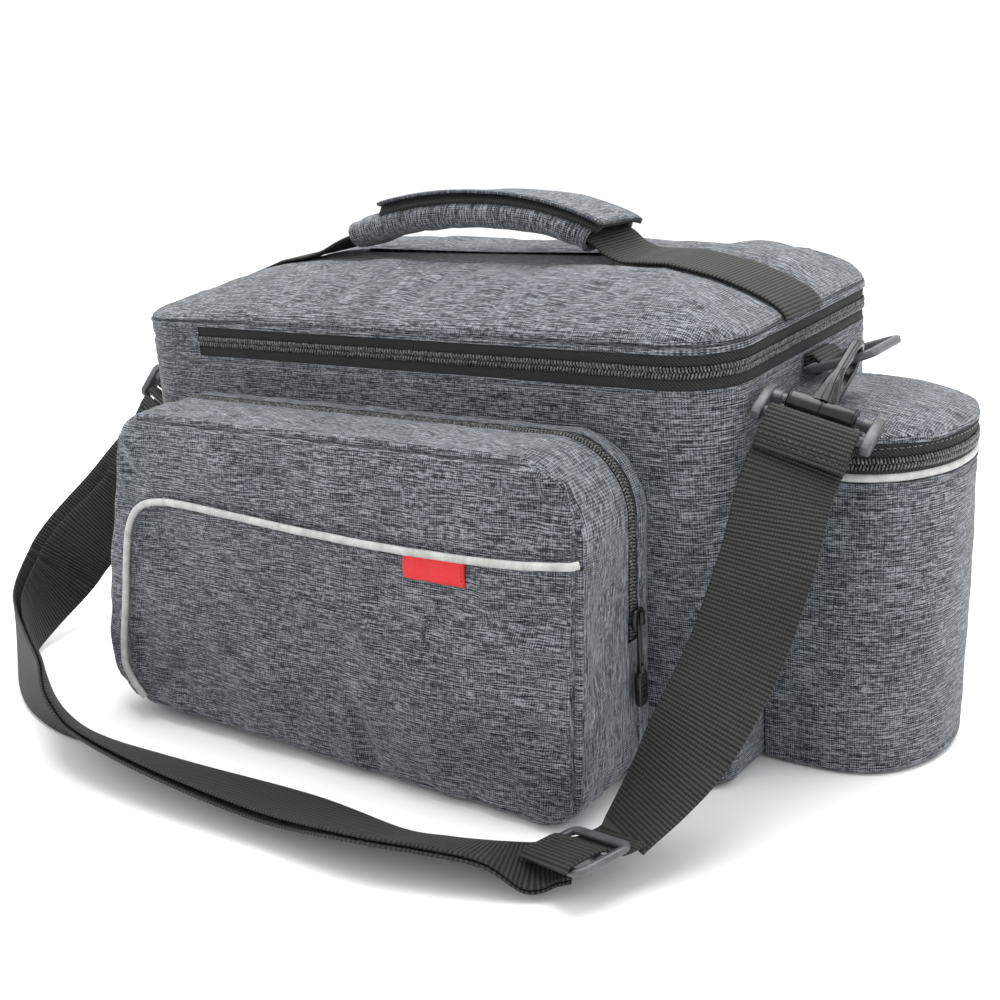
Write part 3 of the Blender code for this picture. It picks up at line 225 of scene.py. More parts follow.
def inset_corners(corners, inset):
    count = len(corners)
    lines = []
    for i in range(count):
        a, b = Vector(corners[i][:2]), Vector(corners[(i + 1) % count][:2])
        along = (b - a).normalized()
        lines.append((a + Vector((-along.y, along.x)) * inset, along))
    moved = []
    for i in range(count):
        (p, u), (q, v) = lines[i - 1], lines[i]
        at = p + u * ((q - p).cross(v) / u.cross(v))
        moved.append((at.x, at.y, max(corners[i][2] - inset, LEAST_RADIUS)))
    return moved


def box_corners(x, y, radius):
    return [(-x, -y, radius), (x, -y, radius), (x, y, radius), (-x, y, radius)]


def lift_share(y):
    """The bag's heights grow a little towards its rear."""
    return 1 + REAR_LIFT * ((y + HALF_WIDTH) / BODY_WIDTH)


def lifted(point):
    return Vector((point[0], point[1], point[2] * lift_share(point[1])))


def body_corners(height=BODY_HEIGHT):
    share = min(1.0, height / BODY_HEIGHT)
    return box_corners(HALF_LENGTH, HALF_WIDTH, BASE_CORNER + (BODY_CORNER - BASE_CORNER) * share)


def body_plan(inset, side_steps, height=BODY_HEIGHT):
    return rounded_corners(inset_corners(body_corners(height), inset), 12, side_steps)


def bulged(x, y, amount):
    across = max(0.0, 1 - (x / HALF_LENGTH) ** 2)
    along = max(0.0, 1 - (y / HALF_WIDTH) ** 2)
    if y > HALF_WIDTH - BODY_CORNER:
        y += amount * across * (y - HALF_WIDTH + BODY_CORNER) / BODY_CORNER
    if x < BODY_CORNER - HALF_LENGTH:
        x += amount * along * (x + HALF_LENGTH - BODY_CORNER) / BODY_CORNER
    return x, y


def smooth_run(points, steps):
    ends = [points[0] * 2 - points[1]] + list(points) + [points[-1] * 2 - points[-2]]
    run = []
    for a, b, c, d in zip(ends, ends[1:], ends[2:], ends[3:]):
        for k in range(steps):
            t = k / steps
            square, cube = 2 * a - 5 * b + 4 * c - d, 3 * b - a - 3 * c + d
            run.append(0.5 * (2 * b + (c - a) * t + square * t**2 + cube * t**3))
    return run + [points[-1]]


def smooth_pairs(pairs, steps):
    return [(p.x, p.y) for p in smooth_run([Vector((a, b)) for a, b in pairs], steps)]


def outward_normals(path):
    normals = []
    for i in range(len(path)):
        sides = []
        if i > 0:
            sides.append(Vector(path[i]) - Vector(path[i - 1]))
        if i < len(path) - 1:
            sides.append(Vector(path[i + 1]) - Vector(path[i]))
        units = [Vector((s.y, -s.x)).normalized() for s in sides]
        normals.append(sum(units, Vector((0, 0))).normalized())
    return normals


def even(points, step):
    """The same line with evenly spaced points."""
    array = np.array([tuple(p) for p in points], float)
    lengths = np.linalg.norm(np.diff(array, axis=0), axis=1)
    at = np.concatenate([[0.0], np.cumsum(lengths)])
    wanted = np.linspace(0.0, at[-1], max(2, int(round(at[-1] / step)) + 1))
    columns = [np.interp(wanted, at, column) for column in array.T]
    return [Vector(row) for row in np.stack(columns, 1)]


def frames(centres, across):
    result = []
    for i, wide in enumerate(across):
        before, after = centres[max(0, i - 1)], centres[min(len(centres) - 1, i + 1)]
        along = (after - before).normalized()
        side = (wide - along * wide.dot(along)).normalized()
        result.append((side, along.cross(side)))
    return result


# Materials


class Shader:
    """A Principled material and short ways to add its texture nodes."""

    def __init__(self, name, colour, roughness, **sockets):
        self.material = bpy.data.materials.new(name)
        self.material.use_nodes = True
        self.tree = self.material.node_tree
        self.shader = self.tree.nodes["Principled BSDF"]
        self.shader.inputs["Base Color"].default_value = (*colour, 1.0)
        self.shader.inputs["Roughness"].default_value = roughness
        for key, value in sockets.items():
            self.shader.inputs[key.replace("_", " ")].default_value = value

    def add(self, kind, **values):
        node = self.tree.nodes.new(kind)
        for key, value in values.items():
            if key in node.inputs:
                node.inputs[key].default_value = value
            else:
                setattr(node, key, value)
        return node

    def link(self, out, into):
        self.tree.links.new(out, into)

    def mapped(self, across, along, coords="UV"):
        """Coordinates in which one unit is the given lengths across and along, in metres."""
        source = self.add("ShaderNodeTexCoord")
        mapping = self.add("ShaderNodeMapping")
        mapping.inputs["Scale"].default_value = (1 / across, 1 / along, 1 / across)
        self.link(source.outputs[coords], mapping.inputs["Vector"])
        return mapping.outputs["Vector"]

    def noise(self, across, along, detail=2.0, coords="UV", rough=0.6):
        node = self.add("ShaderNodeTexNoise", Scale=1.0, Detail=detail, Roughness=rough)
        self.link(self.mapped(across, along, coords), node.inputs["Vector"])
        return node.outputs["Fac"]

    def wave(self, period, direction):
        """Sine bands of the given period in metres."""
        node = self.add("ShaderNodeTexWave", wave_type="BANDS", bands_direction=direction)
        node.inputs["Scale"].default_value = 2 * math.pi / 20.0
        node.inputs["Distortion"].default_value = 0.0
        node.inputs["Detail"].default_value = 0.0
        self.link(self.mapped(period, period), node.inputs["Vector"])
        return node.outputs["Fac"]

    def maths(self, operation, a, b):
        node = self.add("ShaderNodeMath", operation=operation)
        for socket, value in zip(node.inputs, (a, b)):
            if isinstance(value, (int, float)):
                socket.default_value = value
            else:
                self.link(value, socket)
        return node.outputs[0]

    def total(self, *terms):
        """The sum of (output, weight) terms."""
        result = None
        for out, weight in terms:
            part = self.maths("MULTIPLY", out, weight)
            result = part if result is None else self.maths("ADD", result, part)
        return result

    def ramp(self, value, *stops):
        node = self.add("ShaderNodeValToRGB")
        elements = node.color_ramp.elements
        while len(elements) < len(stops):
            elements.new(0.5)
        for element, (position, colour) in zip(elements, stops):
            element.position = position
            element.color = (*colour, 1.0)
        self.link(value, node.inputs["Fac"])
        return node.outputs["Color"]

    def colour(self, out):
        self.link(out, self.shader.inputs["Base Color"])

    def rough(self, value, low, high):
        node = self.add("ShaderNodeMapRange")
        node.inputs["To Min"].default_value = low
        node.inputs["To Max"].default_value = high
        self.link(value, node.inputs["Value"])
        self.link(node.outputs["Result"], self.shader.inputs["Roughness"])

    def bump(self, height, distance, strength):
        node = self.add("ShaderNodeBump")
        node.inputs["Distance"].default_value = distance
        node.inputs["Strength"].default_value = strength
        self.link(height, node.inputs["Height"])
        self.link(node.outputs["Normal"], self.shader.inputs["Normal"])


def melange(name, dark, mid, light):
    """Plain woven cloth of mixed light and dark yarns, the weft slubs running level."""
    s = Shader(name, mid, 0.88, Sheen_Weight=0.22, Sheen_Roughness=0.45, Specular_IOR_Level=0.25)
    slubs = s.noise(0.0140, 0.00082, 3.0, rough=0.6)
    short = s.noise(0.0034, 0.00070, 2.0, rough=0.65)
    warp = s.noise(0.0010, 0.0050, 2.0, rough=0.6)
    shade = s.noise(0.060, 0.045, 1.0)
    weave = s.maths("MULTIPLY", s.wave(0.0011, "X"), s.wave(0.0011, "Y"))
    mix = s.total((slubs, 0.44), (short, 0.36), (warp, 0.17), (weave, 0.10), (shade, 0.05))
    s.colour(s.ramp(mix, (0.452, dark), (0.522, mid), (0.610, light)))
    s.bump(s.total((weave, 0.5), (short, 0.9)), 0.0006, 0.7)
    s.rough(short, 0.80, 0.95)
    return s.material


def ribbed(name, pitch, dark, light):
    """Webbing with ribs across it, each broken into single yarns; its colour has painted shade
    between the ribs and painted highlights on their tops.
    """
    s = Shader(name, dark, 0.62, Sheen_Weight=0.04, Specular_IOR_Level=0.28)
    ribs = s.wave(pitch, "Y")
    yarns = s.wave(pitch * 0.72, "X")
    fuzz = s.noise(0.0009, 0.0006, 2.0)
    worn = s.noise(0.020, 0.012, 3.0)
    height = s.maths("MULTIPLY", ribs, s.maths("ADD", s.maths("MULTIPLY", yarns, 0.45), 0.55))
    tone = s.total((height, 0.62), (fuzz, 0.32), (worn, 0.14))
    # The rib height paints shade between the ribs and highlights on their tops; fuzz and worn add
    # random tone.
    s.colour(s.ramp(tone, (0.28, dark), (0.85, light)))
    s.bump(height, 0.0007, 0.8)
    s.rough(tone, 0.78, 0.50)
    return s.material


def zip_tape(name):
    s = Shader(name, (0.02, 0.02, 0.02), 0.82, Sheen_Weight=0.04, Specular_IOR_Level=0.2)
    twill = s.wave(0.0009, "DIAGONAL")
    grain = s.noise(0.0008, 0.0008, 2.0)
    worn = s.noise(0.018, 0.010, 2.0)
    tone = s.total((twill, 0.3), (grain, 0.5), (worn, 0.2))
    s.colour(s.ramp(tone, (0.3, (0.007, 0.007, 0.0075)), (0.75, (0.036, 0.036, 0.036))))
    s.bump(tone, 0.0004, 0.7)
    return s.material


def moulded(name, dark, light, roughness, patch=0.009):
    """Moulded plastic with a fine spark-eroded grain and a few lighter patches, which on the zip's
    teeth are painted highlights.
    """
    s = Shader(name, dark, roughness, Specular_IOR_Level=0.42)
    grain = s.noise(0.0006, 0.0006, 2.0, "Object")
    tone_and_glints = s.noise(patch, patch, 4.0, "Object", 0.7)
    # Lighter patches of colour: on the nylon teeth, with their small patches, these are painted
    # highlights; on the other mouldings they are random tone.
    s.colour(s.ramp(tone_and_glints, (0.42, dark), (0.72, light)))
    s.bump(grain, 0.00012, 0.5)
    s.rough(tone_and_glints, roughness - 0.07, roughness + 0.12)
    return s.material


def reflective(name):
    s = Shader(name, (0.60, 0.61, 0.59), 0.42, Specular_IOR_Level=0.5, Sheen_Weight=0.1)
    beads = s.noise(0.0006, 0.0006, 2.0)
    soiled = s.noise(0.012, 0.006, 3.0)
    s.colour(s.ramp(soiled, (0.30, (0.30, 0.31, 0.30)), (0.62, (0.46, 0.47, 0.455))))
    s.bump(beads, 0.0003, 0.5)
    s.rough(beads, 0.36, 0.55)
    return s.material


def red_cloth(name):
    s = Shader(name, (0.66, 0.008, 0.014), 0.6, Sheen_Weight=0.1)
    weave = s.maths("MULTIPLY", s.wave(0.0008, "X"), s.wave(0.0008, "Y"))
    grain = s.noise(0.0009, 0.0005, 2.0)
    tone = s.total((weave, 0.4), (grain, 0.6))
    s.colour(s.ramp(tone, (0.25, (0.50, 0.004, 0.008)), (0.65, (0.74, 0.012, 0.020))))
    s.bump(tone, 0.0003, 0.6)
    return s.material


YARNS = (0.006, 0.007, 0.010), (0.045, 0.051, 0.060), (0.25, 0.268, 0.295)
CLOTH = melange("melange_cloth", *YARNS)
WEB = ribbed("ribbed_webbing", 0.0020, (0.0026, 0.0026, 0.0024), (0.037, 0.038, 0.034))
TAPE = zip_tape("woven_tape")
# The teeth's light colour is painted highlights, in small patches on each tooth; it also colours
# the bottle tape's stitches.
TEETH = moulded("nylon_teeth", (0.030, 0.030, 0.029), (0.22, 0.22, 0.215), 0.24, 0.0016)
PLASTIC = moulded("moulded_grey", (0.055, 0.058, 0.062), (0.11, 0.115, 0.12), 0.30)
BLACK = moulded("moulded_black", (0.004, 0.004, 0.0045), (0.016, 0.016, 0.017), 0.22)
LIGHT = reflective("reflective_band")
RED = red_cloth("red_weave")
THREAD = moulded("sewing_thread", (0.030, 0.035, 0.045), (0.10, 0.11, 0.13), 0.6)
PALE_THREAD = moulded("pale_thread", (0.20, 0.22, 0.25), (0.34, 0.36, 0.40), 0.6)


# Surfaces


def grid_normals(array, closed):
    """Unit normals of a grid of points [row, column, xyz]."""
    if closed:
        along = np.roll(array, -1, 1) - np.roll(array, 1, 1)
    else:
        along = np.gradient(array, axis=1)
    up = np.gradient(array, axis=0)
    normal = np.cross(along, up)
    return normal / np.maximum(np.linalg.norm(normal, axis=2, keepdims=True), 1e-12)


def lumps(point, size, seed=0.0):
    return noise.noise(Vector(point) / size + Vector((seed, seed * 1.7, seed * 0.3)))


def dents(point, *waves):
    """Soft unevenness: the sum of (depth, size, seed) noises."""
    return sum(depth * lumps(point, size, seed) for depth, size, seed in waves)


def dress(piece, material, nodes=()):
    """Gives a piece its material, hangs it on the root and hides the solids that it stands for."""
    piece.data.materials.clear()
    piece.data.materials.append(material)
    piece.data.shade_smooth()
    piece.data.set_sharp_from_angle(angle=math.radians(50))
    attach(piece, "root")
    if nodes:
        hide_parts(*nodes)
    return piece


def link_piece(name, mesh):
    piece = bpy.data.objects.new(name, mesh)
    bpy.context.scene.collection.objects.link(piece)
    return piece


def new_piece(name, bm):
    mesh = bpy.data.meshes.new(name)
    bm.to_mesh(mesh)
    bm.free()
    return link_piece(name, mesh)


def thicken(piece, thickness):
    solid = piece.modifiers.new("thickness", "SOLIDIFY")
    solid.thickness = thickness
    solid.offset = 0.0


def add_quads(bm, grid, closed=False):
    """The faces between closed rings of vertices, each with its ring and its place in the ring."""
    made = []
    for i in range(len(grid) if closed else len(grid) - 1):
        lower, upper = grid[i], grid[(i + 1) % len(grid)]
        for j in range(len(lower)):
            k = (j + 1) % len(lower)
            made.append((bm.faces.new((lower[j], lower[k], upper[k], upper[j])), i, j))
    return made


def running_length(array):
    """The length along a line of points, before each of them."""
    return np.concatenate([[0.0], np.cumsum(array)])


def square(u, v, i, j):
    """The places of a face's corners on the cloth."""
    return (u[j], v[i]), (u[j + 1], v[i]), (u[j + 1], v[i + 1]), (u[j], v[i + 1])


def surface(
    name, rows, closed=True, cap_first=False, cap_last=False, relief=None, plan_above=NO_PLAN
):
    """A dense cloth surface through rows of points. relief(u, v, point) moves it along its normal.
    Its UVs are lengths in metres along and up the cloth, or the plan where a face looks up."""
    array = np.array([[tuple(p) for p in row] for row in rows], float)
    count = array.shape[1]
    middle = array[len(rows) // 2]
    us = running_length(np.linalg.norm(np.diff(middle, axis=0, append=middle[:1]), axis=1))
    vs = running_length(np.linalg.norm(np.diff(array, axis=0), axis=2).mean(axis=1))
    if relief is not None:
        normals = grid_normals(array, closed)
        for i in range(array.shape[0]):
            for j in range(count):
                array[i, j] += normals[i, j] * relief(us[j], vs[i], array[i, j])
        array[:, :, 2] = np.maximum(array[:, :, 2], 0.0)
    bm = bmesh.new()
    layer = bm.loops.layers.uv.new("UVMap")
    grid = [[bm.verts.new(p) for p in row] for row in array]
    for i in range(len(grid) - 1):
        for j in range(count if closed else count - 1):
            k = (j + 1) % count
            face = bm.faces.new((grid[i][j], grid[i][k], grid[i + 1][k], grid[i + 1][j]))
            face.normal_update()
            flat = face.normal.z > plan_above
            for loop, place in zip(face.loops, square(us, vs, i, j)):
                loop[layer].uv = loop.vert.co.xy if flat else place
    for wanted, row in ((cap_first, grid[0][::-1]), (cap_last, grid[-1])):
        if wanted:
            for loop in bm.faces.new(row).loops:
                loop[layer].uv = loop.vert.co.xy
    return new_piece(name, bm)


def swept(name, centres, sides, section, closed=False):
    """A section of (side, out) points carried along centres; the UVs are across and along it."""
    around = running_length([math.dist(a, b) for a, b in zip(section, section[1:] + section[:1])])
    along = running_length([(b - a).length for a, b in zip(centres, centres[1:] + centres[:1])])
    bm = bmesh.new()
    layer = bm.loops.layers.uv.new("UVMap")
    grid = []
    for centre, (side, out) in zip(centres, sides):
        grid.append([bm.verts.new(centre + side * a + out * b) for a, b in section])
    for face, i, j in add_quads(bm, grid, closed):
        for loop, place in zip(face.loops, square(around, along, i, j)):
            loop[layer].uv = place
    if not closed:
        bm.faces.new(grid[0][::-1])
        bm.faces.new(grid[-1])
    bmesh.ops.recalc_face_normals(bm, faces=bm.faces)
    return new_piece(name, bm)


def flat_section(width, thickness, columns):
    """A webbing's section, thick in the middle and rounded at its edges."""
    half, deep = width / 2, thickness / 2
    edge = deep * 1.1
    top = [(-half, 0.0), (-half + edge * 0.3, deep * 0.7)]
    top += [(-half + edge + (width - 2 * edge) * k / columns, deep) for k in range(columns + 1)]
    top += [(half - edge * 0.3, deep * 0.7), (half, 0.0)]
    return top[::-1] + [(a, -b) for a, b in top[1:-1]]


def round_section(radius, steps, squash):
    angles = (2 * math.pi * k / steps for k in range(steps))
    return [(math.cos(a) * radius, math.sin(a) * radius * squash) for a in angles]


def bead(length, width, depth, segments=6, rings=3):
    """A small closed bead, long in its second axis, as (points, faces)."""
    points = [(0.0, -length / 2, 0.0)]
    for i in range(1, rings + 1):
        a = math.pi * i / (rings + 1)
        for k in range(segments):
            b = 2 * math.pi * k / segments
            r = math.sin(a) ** 0.6
            x, z = math.cos(b) * r * width / 2, math.sin(b) * r * depth / 2
            points.append((x, -math.cos(a) * length / 2, z))
    points.append((0.0, length / 2, 0.0))
    faces = [(0, 1 + (k + 1) % segments, 1 + k) for k in range(segments)]
    for i in range(rings - 1):
        for k in range(segments):
            a, b = 1 + i * segments + k, 1 + i * segments + (k + 1) % segments
            faces.append((a, b, b + segments, a + segments))
    end, base = len(points) - 1, 1 + (rings - 1) * segments
    faces += [(base + k, base + (k + 1) % segments, end) for k in range(segments)]
    return np.array(points), faces


def scatter(name, template, places):
    """One mesh of many copies of a template at the given matrices."""
    points, faces = template
    ones = np.ones((len(points), 1))
    verts, polygons = [], []
    for number, place in enumerate(places):
        moved = np.hstack([points, ones]) @ np.array(place).T
        verts.append(moved[:, :3])
        polygons += [tuple(i + number * len(points) for i in face) for face in faces]
    mesh = bpy.data.meshes.new(name)
    mesh.from_pydata(np.concatenate(verts).tolist(), [], polygons)
    return link_piece(name, mesh)


def place_at(point, along, out, turn=0.0):
    """A matrix with X along a line, Z outwards and Y across, turned about Z."""
    x = along.normalized()
    z = (out - x * out.dot(x)).normalized()
    axes = Matrix((x, z.cross(x), z)).transposed()
    return Matrix.Translation(point) @ (axes @ Matrix.Rotation(turn, 3, "Z")).to_4x4()


def line_places(points, outs, pitch, shift=0.0, offset=0.0, turn=0.0):
    """Places every pitch along a line, with the line's own outward vectors."""
    run = even([Vector((*p, *o)) for p, o in zip(points, outs)], pitch)
    result = []
    for i in range(len(run) - 1):
        here = run[i].lerp(run[i + 1], shift)
        point, out = Vector(here[:3]), Vector(here[3:]).normalized()
        along = Vector(run[i + 1][:3]) - Vector(run[i][:3])
        across = out.cross(along.normalized())
        result.append(place_at(point + across * offset, along, out, turn))
    return result


def zip_teeth(name, points, outs):
    """Two interlocked rows of coil turns along a line."""
    turn = math.radians(16)
    places = line_places(points, outs, TOOTH_PITCH, 0.0, 0.00140, turn)
    places += line_places(points, outs, TOOTH_PITCH, 0.5, -0.00140, -turn)
    dress(scatter(name, bead(0.0033, 0.00135, 0.0019), places), TEETH)


def stitches(name, points, outs, pitch=0.0032, length=0.0022, material=THREAD, slot="fabric"):
    template = bead(length, 0.00065, 0.00055, 5, 2)
    turn = Matrix.Rotation(math.radians(90), 4, "Z")
    places = [place @ turn for place in line_places(points, outs, pitch)]
    dress(scatter(name, template, places), material)


def straight_stitches(name, start, end, out, pitch, length, material=THREAD, slot="webbing"):
    stitches(name, [start, end], [out, out], pitch, length, material, slot)


def settle(piece, held, pressure):
    """A short cloth simulation from the sewn shape, the cloth a little too large for its seams.
    held(point) is 1 where it is sewn down and 0 where it is free."""
    growth, steps, cap = 0.012, 11, 0.0024
    mesh = piece.data
    start = np.empty(len(mesh.vertices) * 3)
    mesh.vertices.foreach_get("co", start)
    start = start.reshape(-1, 3)
    group = piece.vertex_groups.new(name="sewn")
    for index, point in enumerate(start):
        weight = held(point)
        if weight > 0:
            group.add([index], min(1.0, weight), "REPLACE")
    cloth = piece.modifiers.new("cloth", "CLOTH")
    settings = cloth.settings
    settings.quality = 5
    settings.mass = 0.1
    settings.vertex_group_mass = "sewn"
    settings.shrink_min = -growth
    settings.use_pressure = True
    settings.uniform_pressure_force = pressure
    settings.effector_weights.gravity = 0.0
    for step in range(1, steps + 1):
        bpy.context.scene.frame_set(step)
    graph = bpy.context.evaluated_depsgraph_get()
    moved = np.empty(len(mesh.vertices) * 3)
    piece.evaluated_get(graph).data.vertices.foreach_get("co", moved)
    piece.modifiers.remove(cloth)
    piece.vertex_groups.remove(group)
    shift = moved.reshape(-1, 3) - start
    length = np.maximum(np.linalg.norm(shift, axis=1, keepdims=True), 1e-9)
    shift *= np.minimum(1.0, cap / length)
    settled = start + shift
    settled[:, 2] = np.maximum(settled[:, 2], 0.0)
    mesh.vertices.foreach_set("co", settled.ravel())
    mesh.update()
    bpy.context.scene.frame_set(1)


# The body


def body_row(inset, height):
    outline = body_plan(inset, (100, 48), height)
    amount = float(np.interp(height / BODY_HEIGHT, *zip(*BODY_PROFILE))) * WALL_BULGE
    return [lifted((*bulged(x, y, amount), height)) for x, y in outline]


def body_relief(u, v, p):
    """Soft dents; the walls that carry pockets only go in."""
    depth = dents(p, (0.0019, 0.060, 0.0), (0.0009, 0.026, 3.0), (0.00022, 0.009, 5.0))
    if p[1] < -HALF_WIDTH + 0.02 or p[0] > HALF_LENGTH - 0.02:
        depth = -0.0006 + depth * 0.55
    seam = bell(p[2] / lift_share(p[1]) - BODY_HEIGHT + RIM_SEAM, 0.0011)
    rim = clamp((BODY_HEIGHT - p[2]) / 0.02)
    return depth * (0.35 + 0.65 * rim) - 0.0007 * seam


def rim_stitches(name, side_steps, height, material):
    """Stitches round the body just inside its plan, at height(x)."""
    plan = body_plan(RIM_INSET, side_steps)
    line = [lifted((x, y, height(x))) for x, y in plan + plan[:1]]
    outs = []
    for p in line:
        x, y = p.x / HALF_LENGTH**4 * abs(p.x) ** 3, p.y / HALF_WIDTH**4 * abs(p.y) ** 3
        outs.append(Vector((x, y, 0)).normalized())
    stitches(name, line, outs, material=material)


def build_body():
    rows = [body_row(BASE_ROUND, 0.0)]
    for angle in (70, 50, 30, 10):
        a = math.radians(angle)
        rows.append(body_row(BASE_ROUND * (1 - math.cos(a)), BASE_ROUND * (1 - math.sin(a))))
    low, high = BASE_ROUND + 0.002, BODY_HEIGHT - 0.008
    rows += [body_row(0.0, low + (high - low) * k / 52) for k in range(53)]
    for drop in (0.0065, 0.0055, 0.0048, 0.0042, 0.0035, 0.0028, 0.0020, 0.0010, 0.0003):
        rows.append(body_row(-0.0003, BODY_HEIGHT - drop))
    for inset, up in ((0.0002, 0.0002), (0.0012, 0.0), (0.0035, -0.002)):
        rows.append(body_row(inset, BODY_HEIGHT + up))
    piece = surface("body_cloth", rows, cap_first=True, relief=body_relief)
    dress(piece, CLOTH, ["body_shell"])
    rim_stitches("body_rim_stitches", (20, 12), lambda x: BODY_HEIGHT - RIM_SEAM, PALE_THREAD)


# The lid


LID_RUN = smooth_pairs(LID_PROFILE[1:], 8)


def lid_rise(x, rise):
    left = clamp((LID_SAG_LENGTH - HALF_LENGTH - x) / LID_SAG_LENGTH)
    return rise * (LID_RISE - LID_LEFT_SAG * left * left * (3 - 2 * left))


def edge_distance(x, y):
    return min(HALF_LENGTH - abs(x), HALF_WIDTH - abs(y))


def lid_height(x, y):
    """The lid's smooth surface over a place in the plan, before the lift."""
    rise = float(np.interp(edge_distance(x, y) / HALF_WIDTH, *zip(*LID_RUN)))
    return LID_BASE + lid_rise(x, rise)


def lid_row(inset, rise):
    outline = body_plan(inset * HALF_WIDTH, (100, 48))
    return [lifted((x, y, LID_BASE + lid_rise(x, rise))) for x, y in outline]


def under_webbing(y, margin=0.0):
    """1 under the handle's webbing and 0 beside it."""
    return clamp(1 - (abs(y - HANDLE_Y) - HANDLE_WEBBING / 2 - margin) / 0.004)


def lid_relief(u, v, p):
    depth = dents(p, (0.0020, 0.070, 1.0), (0.0010, 0.028, 4.0), (0.0002, 0.010, 6.0))
    held = under_webbing(p[1])
    edge = edge_distance(p[0], p[1])
    depth = depth * (1 - held) * clamp(edge / 0.02, 0.15) - 0.0009 * held * min(1.0, edge / 0.012)
    rise = (p[2] / lift_share(p[1]) - LID_BASE) / lid_rise(p[0], 1.0)
    return depth - 0.0008 * bell(rise - LID_SEAM, 0.035)


def lid_held(p):
    return max(1.3 - edge_distance(p[0], p[1]) / 0.012, under_webbing(p[1], 0.002))


def build_lid():
    rows = [lid_row(0.030, 0.03), lid_row(0.004, -0.006)]
    rows += [lid_row(-0.003, 0.004 + 0.10 * k / 3) for k in range(4)]
    rows += [lid_row(inset, rise) for inset, rise in LID_RUN[1:]]
    rows += [lid_row(0.60 + 0.385 * k / 13, 1.0) for k in range(1, 14)]
    piece = surface("lid_cloth", rows, cap_last=True, relief=lid_relief, plan_above=PLAN_ABOVE)
    settle(piece, lid_held, 4.0)
    dress(piece, CLOTH, ["lid_shell"])
    rim_stitches("lid_rim_stitches", (60, 30), lambda x: LID_BASE + lid_rise(x, LID_SEAM), THREAD)


# The zips


def moved_out(path, out, along, place):
    normals = outward_normals(path)
    return [place(p[0] + n.x * out, p[1] + n.y * out, along) for p, n in zip(path, normals)]


def strip(name, path, lows, place, material, slot, relief=None, nodes=()):
    """A band of cloth along a path in a plane: lows lists (out, along) across its width."""
    rows = [moved_out(path, out, up, place) for out, up in lows]
    dress(surface(name, rows, closed=False, relief=relief), material, nodes)


def even_pairs(path, step):
    return [(p.x, p.y) for p in even([Vector((*q, 0.0)) for q in path], step)]


def in_plan(x, y, z):
    return lifted((x, y, z))


def upright(x, y, z):
    return Vector((x, y, z))


def tape_lows(base, height, coil_at, inner):
    """Across a closed zip's two tapes: each dips a little towards the teeth."""
    top = base + height
    lows = ((-0.0030, base - 0.0004), (0.0002, base - 0.0004), (0.0004, base + 0.0015))
    lows += ((0.0002, coil_at - 0.0035), (-0.0003, coil_at - 0.0028), (-0.0003, coil_at))
    lows += ((-0.0003, coil_at + 0.0028), (0.0002, coil_at + 0.0035))
    lows += ((0.0004, top - 0.0015), (0.0002, top + 0.0004), (-0.0030, top + 0.0004))
    return [(out - inner, up) for out, up in lows]


def zip_line(path, out, along, place):
    """A line along a zip's tape, with its outward vectors."""
    points = moved_out(path, out, along, place)
    return points, [t - p for p, t in zip(points, moved_out(path, out + 0.01, along, place))]


def hinge_relief(u, v, p):
    """The folded end of the cloth beside the zip: two creases that meet in a point."""
    level = (p[2] / lift_share(p[1]) - TAPE_BASE) / TAPE_HEIGHT
    run = (ZIP_X - p[0]) / 0.036
    if run < 0 or abs(p[1]) < HALF_WIDTH - 0.012:
        return -0.0003 * bell(level - 0.5, 0.2)
    spread = 0.46 * max(0.0, 1 - run)
    crease = bell(level - 0.5 - spread, 0.10) + bell(level - 0.5 + spread, 0.10)
    return 0.0006 * (1 - abs(level - 0.5) * 2) - 0.0011 * min(1.0, crease)


def build_main_zip():
    x, y, r = HALF_LENGTH - BODY_CORNER, HALF_WIDTH - BODY_CORNER, BODY_CORNER
    run = [(ZIP_X, -HALF_WIDTH)] + arc((x, -y), r, -90, 0, 24) + arc((x, y), r, 0, 90, 24)
    run = even_pairs(run + [(ZIP_X, HALF_WIDTH)], 0.003)
    middle = TAPE_BASE + TAPE_HEIGHT / 2
    lows = tape_lows(TAPE_BASE, TAPE_HEIGHT, middle, 0.0010)
    strip("main_zip_tape", run, lows, in_plan, TAPE, "tape", nodes=["main_zip"])
    zip_teeth("main_zip_teeth", *zip_line(run, -0.0005, middle, in_plan))
    end = ZIP_X + 0.0006
    hinge = [(end, HALF_WIDTH)] + arc((-x, y), r, 90, 180, 24) + arc((-x, -y), r, 180, 270, 24)
    hinge = even_pairs(hinge + [(end, -HALF_WIDTH)], 0.0025)
    low, high = TAPE_BASE - 0.0004, TAPE_BASE + TAPE_HEIGHT + 0.0004
    lows = [(-0.0002, low + (high - low) * k / 14) for k in range(15)]
    lows = [(-0.003, low)] + lows + [(-0.003, high)]
    strip("end_hinge_cloth", hinge, lows, in_plan, CLOTH, "fabric", hinge_relief, ["end_hinge"])
    for label, side in (("front", -1), ("back", 1)):
        x, y = ZIP_X - 0.0020, side * (HALF_WIDTH + 0.0002)
        ends = [in_plan(x, y, TAPE_BASE + height) for height in (0, TAPE_HEIGHT)]
        out = Vector((0, side, 0))
        straight_stitches(f"zip_end_stitches_{label}", *ends, out, 0.0026, 0.0018, slot="fabric")


# The side pocket


def pocket_corners():
    return [
        (POCKET_LEFT_BASE - HALF_LENGTH, POCKET_LEFT_CLEAR, 0.034),
        (HALF_LENGTH - POCKET_RIGHT - POCKET_RIGHT_LEAN, 0.0005, 0.022),
        (HALF_LENGTH - POCKET_RIGHT, POCKET_TOP, 0.036),
        (POCKET_LEFT_TOP - HALF_LENGTH, POCKET_TOP, 0.022),
    ]


def depth_share(z):
    """The side pocket's depths grow towards its foot."""
    return 1 + POCKET_LEAN * (1 - z / POCKET_TOP)


